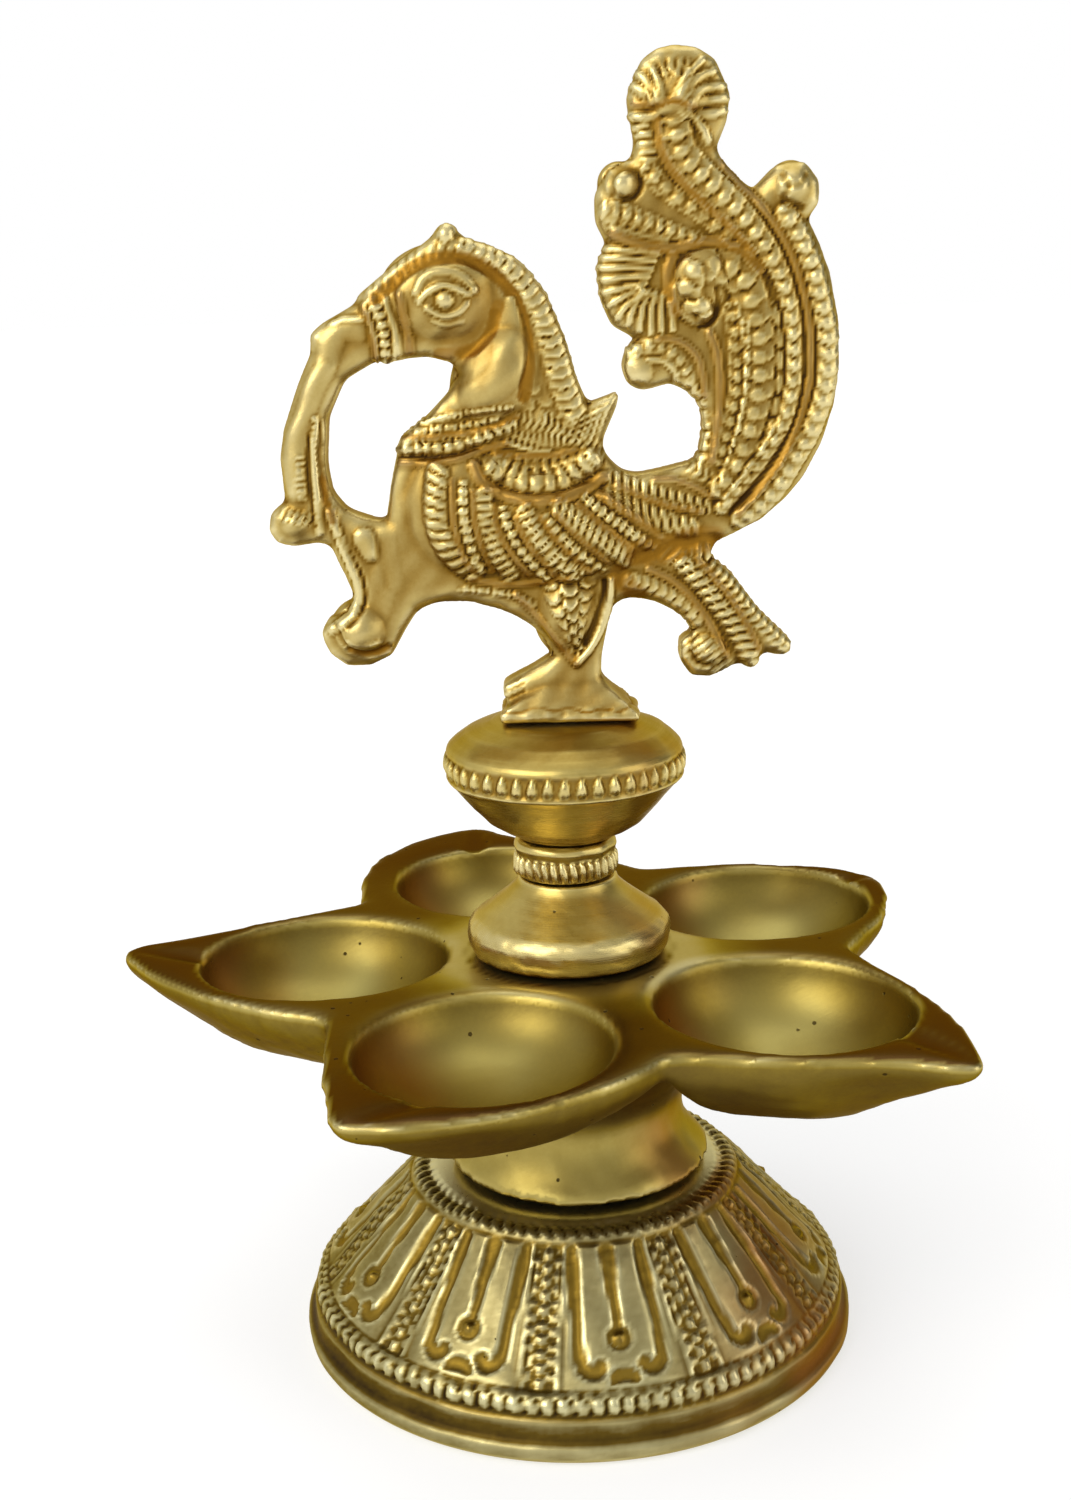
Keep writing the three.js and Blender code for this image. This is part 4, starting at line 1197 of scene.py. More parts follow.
hardware = {
    "rod": [(0, 9.0), (2.9, 9.0), (3.6, 9.7), (3.9, 10.2), (3.9, 89.6), (3.2, 90.4), (0, 90.4)],
    "rodRadius": 3.9,
    "threaded": (9.8, 89.8),
    "pitch": 1.25,
    "thread": 0.42,
    "washer": [(4.4, 20.8), (8.7, 20.8), (9.0, 21.05), (9.0, 22.05), (8.7, 22.3), (4.4, 22.3)],
    "nut": (14.0, 20.5),
    "nutFlats": 13.0,
    "nutBore": 4.4,
    "nutFace": (6.1, 7.8, 1.0),         # radius of the washer face and of the corners, height between them
}


def makeRod():
    rod = turned("tieRod", sections(hardware["rod"], 0.24), 36, closed=False)
    co = places(rod.data)
    low, high = hardware["threaded"]
    wave = co[:, 2] / hardware["pitch"] - angleOf(co) / 2 / np.pi
    tooth = np.abs(fraction(wave) * 2 - 1)
    side = (radiusOf(co) > 3.5) & (co[:, 2] > low) & (co[:, 2] < high)
    share = np.where(side, 1 - hardware["thread"] / hardware["rodRadius"] * (1 - tooth), 1.0)
    co[:, :2] *= share[:, None]
    setPlaces(rod.data, co)
    markWearAndShade(rod, 3, 20, (1.6, 0.6))
    finishPiece(rod, "rod", ["tie_rod"], "steel", zincSteel)


def makeWasher():
    washer = turned("washer_plain", sections(hardware["washer"], 0.5), 96)
    markWearAndShade(washer, 3, 12, (1.0, 0.4))
    finishPiece(washer, "stand", ["washer"], "steel", zincSteel)


def makeNut():
    low, high = hardware["nut"]
    bm = bmesh.new()
    bmesh.ops.create_circle(bm, cap_ends=False, segments=6, radius=hardware["nutFlats"] / math.sqrt(3))
    bmesh.ops.subdivide_edges(bm, edges=bm.edges[:], cuts=7)
    bmesh.ops.create_circle(bm, cap_ends=False, segments=48, radius=hardware["nutBore"])
    bmesh.ops.bridge_loops(bm, edges=bm.edges[:])
    thicken(bm, bm.faces[:], (0, 0, high - low))
    bmesh.ops.translate(bm, vec=(0, 0, low), verts=bm.verts)
    bmesh.ops.recalc_face_normals(bm, faces=bm.faces)
    nut = meshFrom(bm, "hexNut")
    # both ends are chamfered where the corners pass the washer face
    face, corner, rise = hardware["nutFace"]
    low, high = low - 0.01, high + 0.01
    half = [(0, low), (face, low), (corner, low + 0.01 + rise)]
    other = [(corner, high - 0.01 - rise), (face, high), (0, high)]
    cut(nut, turned("cone", half + other, 96, closed=False), "INTERSECT")
    remesh(nut, 0.22, 2)
    markWearAndShade(nut, 4, 20, (1.2, 0.4))
    finishPiece(nut, "stand", ["hex_nut"], "steel", zincSteel)


makeRod()
makeWasher()
makeNut()


# Bird: flat casting, chased on both faces

bird = {
    "voxel": 0.42 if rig.quick else 0.22,
    "foot": 96.3,
    "thickness": 6.4,
    "flat": 96,          # top of the knob, from which strokes are measured
    "roll": 2.4,         # how far in from the outline the edge is rounded
    "rollFrom": (99, 4, 0.5),        # above this height, fully so after 4 mm, and how much of the depth
    "outline": [
        (-21, 65), (-16.5, 68), (-15.5, 69.5), (-14.5, 70), (-13, 69), (-12.5, 68), (-7, 66),
        (-4.5, 64.5), (-1, 60), (1.5, 54),
        (3, 48.5), (4.5, 45), (6, 45.5), (9, 46.5), (8.5, 44.5), (6.5, 40),
        (6.5, 38.5), (7.5, 37), (9, 35.5), (11.5, 35), (14.5, 35.5), (19, 36.5), (20, 37.5),
        (20.5, 40.5), (20.5, 43.5), (19, 46),
        (16, 47.5), (12, 46.5), (10, 47.5), (9.2, 50), (10, 52.5), (11.5, 53.5),
        (8, 55.5), (6.5, 59), (6, 63.5), (7.5, 66.5), (6, 69.5), (6, 73), (8, 76), (11, 77.5),
        (11.5, 79.5), (10.5, 85.5),
        (12.5, 90), (14.5, 91.5), (17, 92), (20, 91.5), (22.5, 90), (24.5, 85.5), (24, 82),
        (22.5, 78.5), (24, 76), (27.5, 73),
        (29, 74.5), (30.5, 76), (32.5, 76.5), (34.5, 76.5), (36.5, 74), (36.5, 71), (35, 69),
        (36.5, 66), (38, 62), (39.3, 55.5),
        (39.5, 49.5), (38.8, 44), (37, 38.5), (34.5, 34), (32, 31), (28.5, 28), (22, 25),
        (21.3, 23), (24.5, 20.5), (28.5, 15), (33, 10.5), (33, 9), (31.5, 8.5), (29, 9), (27.5, 7),
        (25, 7.5), (21.5, 5.7),
        (18.5, 6), (16.8, 8.5), (17, 11), (19, 12.5), (17, 15), (13, 17), (9.5, 17.5), (7.5, 16.5),
        (6.8, 14), (5.7, 9), (5.6, 6), (7.5, 4), (9.5, 2.2), (11, 0), (-9, 0), (-7.8, 2.4), (-8.8, 4.2),
        (-8.5, 5.5),
        (-4.5, 7.5), (-1.2, 9.5), (-2.5, 12),
        (-4.5, 14), (-8, 16), (-13, 17.5), (-17.5, 17.5), (-20.5, 16.5), (-22.5, 13.5), (-24.5, 10),
        (-27.5, 8.5), (-31, 8.5),
        (-33.5, 10.5), (-34.6, 13.5), (-33.5, 15.5), (-30.5, 16.5), (-29.6, 19),
        (-31, 22.5), (-32.5, 26), (-34, 26.5), (-37.5, 26), (-40, 26.5), (-41.2, 28.5), (-40.7, 31),
        (-38.6, 32.5), (-39, 38.5),
        (-38.3, 42.5), (-36, 48.5), (-33.8, 53), (-33.8, 55.5), (-32, 57), (-27.2, 59.5), (-27, 60.5),
    ],
    "uneven": [(0.06, 3.2, 51), (0.1, 12, 52)],
    "facing": (0.25, 0.12, 2.4),     # share of the ornament that the edges keep, and where the faces start
    "bareBelow": (96.9, 1.5),
    "seam": {
        "low": 96.5, "top": 99.2, "fade": 1.6,
        "crack": (98.0, 0.2, 0.22, 0.8),     # height, half width, depth and tint
        "wander": [(0.45, 6, 53)],
        "rough": [(0.14, 4, 54), (0.05, 1.6, 55)],
    },
    "throat": [
        (-25, 51.5), (-29.5, 49), (-32, 44), (-32.6, 37.5), (-32, 33.5), (-30, 31), (-26, 29.5),
        (-24.4, 29.5), (-23.5, 34.5),
        (-22, 41), (-18.5, 43.5), (-15, 47), (-13.5, 49.5), (-14, 51), (-17.5, 52),
    ],
    "pad": [(-9, 0), (11, 0), (11, 0.9), (7.5, 4), (4.4, 5.8), (-1, 5.4), (-6, 3.4), (-9, 1.6)],
    "padHalf": 5.4,
    "padTaper": (5.35, 2, 6, 0.075),     # outside this depth, between these heights, by this much per mm
    # x, z, half width, half height, thickness, tilt
    "swells": [
        (-15.3, 60, 9, 7.4, 10.6, 0), (-8, 49, 6.4, 8.6, 10.6, -25), (-14, 31, 9, 11, 11.6, 10),
        (-1, 27.5, 17.5, 9, 11.6, -6),
        (1, 16, 5.2, 7.5, 9.9, 0), (-28.8, 13.6, 4.6, 4.6, 10.6, 0), (-37.3, 29.4, 3.2, 3, 8.5, 0),
        (32.8, 73.3, 3.5, 3.5, 9, 0),
        (20.4, 61, 4.8, 6.2, 9, 15), (17.5, 86, 6, 5.4, 9, 0), (9.4, 74.3, 3, 3, 9, 0),
        (21, 9.8, 3.6, 3.2, 8.5, 0),
    ],
}
# All points are x and height above the knob's flat, on the face
headRelief = [
    ([(-24.4, 60.2), (-22, 62.2), (-19, 64.4), (-15.5, 65.5), (-11.5, 65.2), (-8, 63.2), (-5.4, 60),
      (-4, 55.5), (-3.6, 51), (-4.4, 46.6)], ("groove", 1, 0.55), ("stain", 1, 0.9)),
    ([(-24.4, 61.2), (-21.8, 63.3), (-19.1, 65.2), (-16, 66.6), (-13, 66.9)], ("rib", 1.2, 0.25, 1.4, 0.4)),
    ([(-14.4, 68.6), (-14.2, 69)], ("band", 1.1, 0.6)),
    ([(-12, 66.9), (-9.4, 66), (-6.4, 64.3), (-3.9, 62), (-1.9, 58.8), (-0.6, 55.2), (0.4, 51.4), (1.2, 48),
      (2.4, 44.6)], ("scale", (1.3, 1.6, 2, 2.2, 2.1), 0.8, 1.5, 0.7)),
    ([(-3, 46.2), (-0.6, 43.6), (2.4, 41.4)], ("shingle", 2.2, 0.26, 2.3, 2)),
    ([(3.6, 41.4), (6, 43.6), (8.4, 46.4)], ("twin", (2, 1.6, 0.5), 0.35, 0.9, 0.9)),
    # brow, lids and eye
    ([(-18.7, 61), (-17.7, 62.8), (-15.9, 63.7), (-13.8, 63.6), (-12, 62.7),
      (-10.8, 61.4)], ("band", 0.65, 0.34)),
    ([(-18.3, 59.9), (-16.8, 61.2), (-14.9, 61.8), (-13, 61.3), (-11.6, 60.7),
      (-10.5, 61.1)], ("band", 0.5, 0.4)),
    ([(-17.2, 58.9), (-15.7, 58), (-14.4, 57.8), (-12.8, 58.3), (-11.7, 59.4)], ("band", 0.45, 0.34)),
    ([(-16.4, 57.2), (-14.6, 56.5), (-12.6, 57)], ("band", 0.4, 0.18)),
    ([(-14.9, 59.9), (-14.6, 59.9)], ("groove", 1.9, 0.32)),
    ([(-14.8, 59.9), (-14.7, 59.9)], ("band", 1.2, 0.72)),
    # painted shade on the back of the head, drawn as a stain
    ([(-9.2, 58.6), (-9.8, 55.6), (-12.4, 54.4)], ("stain", 3.4, 0.3)),
    # bridle
    ([(-23.8, 60), (-22.9, 57), (-22.6, 54), (-22.6, 52.6)], ("band", 2.3, 0.45)),
    ([(-24.6, 59.8), (-23.9, 57.6), (-23.4, 55.4), (-23.3, 52.4)], ("bead", 0.9, 0.6, 1.2, 0)),
    ([(-25.9, 59.4), (-25.2, 57.2), (-24.7, 55.2), (-24.6, 52.2)], ("band", 0.36, 0.35)),
    ([(-23, 60.4), (-22.3, 58), (-21.8, 55.6), (-21.7, 52.8)], ("band", 0.6, 0.4)),
    ([(-21, 60.8), (-20.5, 58), (-20.1, 55.4), (-19.9, 53)], ("orange", 0.6, 0.45)),
    ([(-26.2, 59.4), (-25.4, 57), (-25, 54.8), (-24.8, 52.4)], ("orange", 0.5, 0.4)),
    # beak: two bright planes with a ridge between, ladder of ticks along the strand
    ([(-27, 56.2), (-29.5, 56.2), (-30.8, 54.4), (-31.4, 52.4)], ("plain", 1.8, 0.35)),
    ([(-26.4, 57.6), (-28.6, 57.8), (-30.6, 57.1)], ("band", 0.45, 0.3)),
    ([(-31.6, 51.4), (-33.4, 48.6), (-35, 45), (-36.4, 41.4), (-37, 37.6),
      (-36.8, 34.4)], ("plain", 1.6, 0.45)),
    ([(-33.9, 44), (-34.7, 40.5), (-35, 37), (-34.8, 33.6), (-34.4, 29.4)], ("groove", 0.4, 0.35)),
    ([(-35.9, 38.6), (-36.1, 36), (-35.9, 33.4)], ("rib", 0.75, 0.35, 0.75, 0)),
    ([(-33.6, 44.2), (-34, 40), (-34, 36), (-33.9, 32), (-33.8, 28.4)], ("band", 0.6, 0.4)),
    ([(-33.7, 43.6), (-34, 40), (-34, 36), (-33.9, 33)], ("rib", 0.6, 0.3, 0.8, 0.2)),
    ([(-33, 43.4), (-33.1, 39.5), (-32.9, 35.5), (-32.3, 32), (-31.6, 29.6)], ("groove", 0.4, 0.45)),
    ([(-33, 36), (-32.6, 33), (-31.8, 30)], ("stain", 0.6, 0.9)),
    ([(-38.6, 31), (-36.6, 30.6), (-34.8, 30.2)], ("rib", 1.2, 0.25, 1.1, 0.4)),
]
breastRelief = [
    # strand that falls from the beak to the scroll
    ([(-32.2, 31.4), (-31.4, 28.6), (-30.2, 25.2), (-29, 22), (-28.6, 19.4), (-29.4, 17.2), (-31, 15.6),
      (-32.8, 14.4)], ("band", 0.7, 0.6)),
    ([(-31, 27.6), (-29.4, 24.4), (-28.2, 21.6), (-27.9, 18.8), (-28.6, 16.6),
      (-30.2, 15.2)], ("groove", 0.5, 0.5)),
    ([(-32, 15), (-31.6, 13.4), (-31, 12.4)], ("groove", 0.5, 0.5)),
    ([(-30.4, 11.6), (-28.4, 10.8), (-26.4, 10.9), (-25, 11.6)], ("groove", 0.65, 0.8)),
    ([(-30.2, 11.5), (-28.4, 10.8), (-26.4, 10.9), (-25, 11.6)], ("stain", 0.7, 0.9)),
    ([(-30.4, 13), (-28, 12.2), (-26, 12.6)], ("band", 0.4, 0.3)),
    ([(-27.6, 27.4), (-26.6, 25.6)], ("band", 1.6, 0.7)),
    ([(-28.8, 13.6), (-26.6, 16.4), (-25.4, 19.6), (-25, 22.6)], ("plain", 2, 0.15)),
    ([(-24.6, 27.6), (-24.4, 24.6), (-23.8, 21)], ("plain", 1.7, 0.1)),
    # neck
    ([(-5.8, 59.6), (-5.9, 54), (-6.8, 50), (-9.4, 47.6),
      (-13.4, 46.2)], ("plain", (0.9, 2.6, 2.4, 1.8), 0.3)),
    ([(-8, 58), (-8.8, 55.4), (-10.8, 53.4), (-13, 52.6)], ("groove", 0.9, 0.4)),
    ([(-7.6, 59), (-8.8, 55.4), (-10.8, 53.4), (-16, 52.6)], ("stain", 1, 0.8)),
    # necklaces
    ([(-20, 43), (-16, 43.9), (-11, 44.8), (-6.4, 45.2)], ("bead", 0.5, 0.4, 0.95, 0)),
    ([(-21, 42), (-16.5, 42.4), (-12, 42.9), (-8.4, 43.6)], ("bead", 0.55, 0.45, 1.05, 0)),
    ([(-21.4, 41.2), (-16.5, 41.5), (-12, 41.9), (-8, 42.9), (-5.4, 44)], ("orange", 0.45, 0.4)),
    ([(-21.8, 39.9), (-17, 40.1), (-13, 40.5), (-9.8, 41.3), (-6.4, 42.6)], ("band", 1.15, 0.35)),
    ([(-21.6, 39.6), (-17, 39.8), (-13, 40.3), (-9.8, 41.3), (-6.2, 42.8)], ("bead", 0.85, 0.6, 1.5, 0)),
    ([(-21.4, 40.7), (-17, 40.9), (-13, 41.2)], ("rib", 0.5, 0.3, 0.8, 0)),
    ([(-22, 37.9), (-18, 37.9), (-14, 38.4), (-10.6, 39.4), (-7, 40.2)], ("orange", 0.6, 0.35)),
    ([(-22, 38.7), (-18, 38.6), (-14, 39), (-10.8, 39.9)], ("groove", 0.5, 0.5)),
]
wingRelief = [
    ([(-16.8, 36.4), (-17.2, 33), (-17.1, 29.6), (-16.2, 26.6), (-14.4, 24),
      (-12.4, 22.6)], ("band", 1.7, 0.55), ("rib", 1.75, 0.42, 1.5, 0.35)),
    ([(-14.7, 35.4), (-14.8, 31.6), (-14.5, 28.4), (-13.6, 25), (-12.2, 22.6)], ("orange", 0.42, 0.3)),
    ([(-13.2, 34.6), (-13.3, 31.4), (-12.9, 28.2), (-12.2, 25.2),
      (-11, 22.6)], ("bead", 0.85, 0.6, 1.35, 0)),
    ([(-11.9, 34), (-11.9, 31), (-11.4, 27.8), (-10.6, 25), (-9.6, 22.4)], ("orange", 0.42, 0.3)),
    ([(-10.4, 33.4), (-10.2, 30.4), (-9.6, 27.4), (-8.6, 24.6),
      (-7, 21.8)], ("band", 1.3, 0.4), ("rib", 1.35, 0.38, 1.15, 0)),
    ([(-8.9, 31.6), (-8.6, 29), (-7.6, 26.4), (-5.8, 23.6), (-4.4, 21.8)], ("orange", 0.42, 0.3)),
    ([(-7.7, 31), (-7, 28.6), (-5.7, 26), (-4, 23.6), (-2.2, 21.6)], ("bead", 0.8, 0.6, 1.35, 0)),
    ([(-6, 30.2), (-5.2, 28), (-3.8, 25.6), (-1.8, 23.2), (-0.4, 21.6)], ("orange", 0.42, 0.3)),
    ([(-4.6, 30.9), (-3.6, 28.4), (-1.8, 25.8), (0.2, 23.4),
      (2.2, 21.6)], ("band", 1.35, 0.4), ("rib", 1.4, 0.38, 1.1, -0.1)),
    ([(-2.6, 30.2), (-1.2, 28), (0.6, 25.8), (2.6, 23.8), (4.4, 22)], ("orange", 0.42, 0.3)),
    ([(-1.6, 29.9), (-0.1, 27.9), (1.8, 25.8), (3.8, 24), (5.8, 22.4)], ("bead", 0.8, 0.6, 1.35, 0)),
    ([(-0.4, 30.4), (1.2, 28.6), (3, 26.8), (5, 25), (7, 23.2)], ("orange", 0.42, 0.3)),
    ([(0.2, 31.2), (2.6, 29.4), (5, 27.4), (7.4, 25.4),
      (9.2, 23.8)], ("band", 1.5, 0.45), ("rib", 1.6, 0.42, 1.15, -0.45)),
    ([(2.8, 31.6), (5.2, 29.4), (7.6, 27.4), (10.2, 25.2)], ("orange", 0.5, 0.35)),
    ([(4, 32.3), (6.4, 30.3), (8.8, 28.4), (11.6, 26.2), (13, 25.2)], ("bead", 0.95, 0.6, 1.15, 0)),
    ([(5.8, 32.8), (8.6, 30.8), (11.6, 28.6), (14.4, 26.6)], ("orange", 0.6, 0.35)),
    ([(7.6, 32.6), (11, 30.6), (14.6, 29),
      (18.6, 27.6)], ("band", 1.6, 0.35), ("rib", 1.8, 0.42, 1.45, -0.75)),
    ([(8.4, 34), (12.2, 32.2), (16, 30.8), (20, 30)], ("orange", 0.5, 0.35)),
    ([(7.8, 35), (11.4, 33.6), (15.4, 32.2), (20.6, 30.6)], ("rib", 1.2, 0.47, 1.35, -0.5)),
    ([(13.6, 34.6), (16.4, 34.5), (19.4, 33.4), (21.4, 32)], ("orange", 0.45, 0.35)),
    # shoulder: lobes over a plain rim
    ([(-11.6, 37.4), (-10.4, 35), (-7.6, 33.2), (-3.6, 32.3), (0.6, 32.6), (3.8, 33.7),
      (6.4, 35.2)], ("orange", 0.85, 0.55)),
    ([(-8.8, 37.2), (-6.4, 35.8), (-3.4, 35.2), (-0.4, 35.3), (2.4, 36.2),
      (4.6, 37.6)], ("band", 1.9, 0.75)),
    ([(-8.8, 36.9), (-6.4, 35.5), (-3.4, 34.9), (-0.4, 35), (2.4, 35.9),
      (4.6, 37.4)], ("bead", 1.75, 0.5, 1.75, 0)),
    ([(-7.6, 38.2), (-4.6, 37.4), (-1.4, 37.2), (1.6, 37.8)], ("bead", 0.9, 0.35, 1.4, 0)),
    ([(-8.6, 39), (-5, 38.4), (-1, 38.3), (2.4, 39)], ("orange", 0.5, 0.3)),
    ([(-6.8, 40.2), (-4, 39.3), (-1.2, 39)], ("band", 0.35, 0.35)),
    ([(-6.4, 41), (-3, 40.4), (0.6, 40.6)], ("rib", 1.2, 0.34, 0.9, 0.2)),
    ([(-3.4, 43.4), (0, 42.4), (3.6, 40.4), (5.6, 38.4)], ("twin", 1.6, 0.35, 1, 0.5)),
    # thigh tuft and its bright rim
    ([(1.2, 21.2), (1.4, 17.6), (1.9, 13), (2.4, 10)], ("shingle", (4.4, 3.4, 1.6, 0.9), 0.65, 1.75, 3)),
    ([(7.3, 20.8), (7, 17.8), (5.9, 14.2), (4.2, 11), (2.2, 8.6)], ("plain", 0.6, 0.9)),
    ([(6.3, 20.4), (5.9, 17.8), (4.8, 14.4), (3.2, 11.4)], ("groove", 0.5, 0.5)),
    ([(-6.4, 18.9), (-4, 16.4), (-1.4, 13.2), (0.8, 10.2), (2, 8.8)], ("orange", 0.55, 0.35)),
    ([(-12.6, 21.2), (-8, 20.4), (-3, 20.6), (1.4, 21.4)], ("orange", 0.5, 0.3)),
    ([(-14, 19.8), (-10, 19.4), (-6.4, 18.6), (-4, 17.4)], ("bead", 0.55, 0.35, 1, 0)),
    # toes and claws
    ([(-8.6, 5.6), (-6.2, 6.6)], ("groove", 0.35, 0.35)),
    ([(-8.6, 4.6), (-5.8, 5.8)], ("groove", 0.35, 0.35)),
    ([(-8.2, 3.6), (-5.6, 4.8)], ("groove", 0.35, 0.35)),
    ([(6.9, 5.6), (9.4, 3.2)], ("groove", 0.35, 0.35)),
    ([(7.8, 5.6), (10, 3.6)], ("groove", 0.35, 0.35)),
]
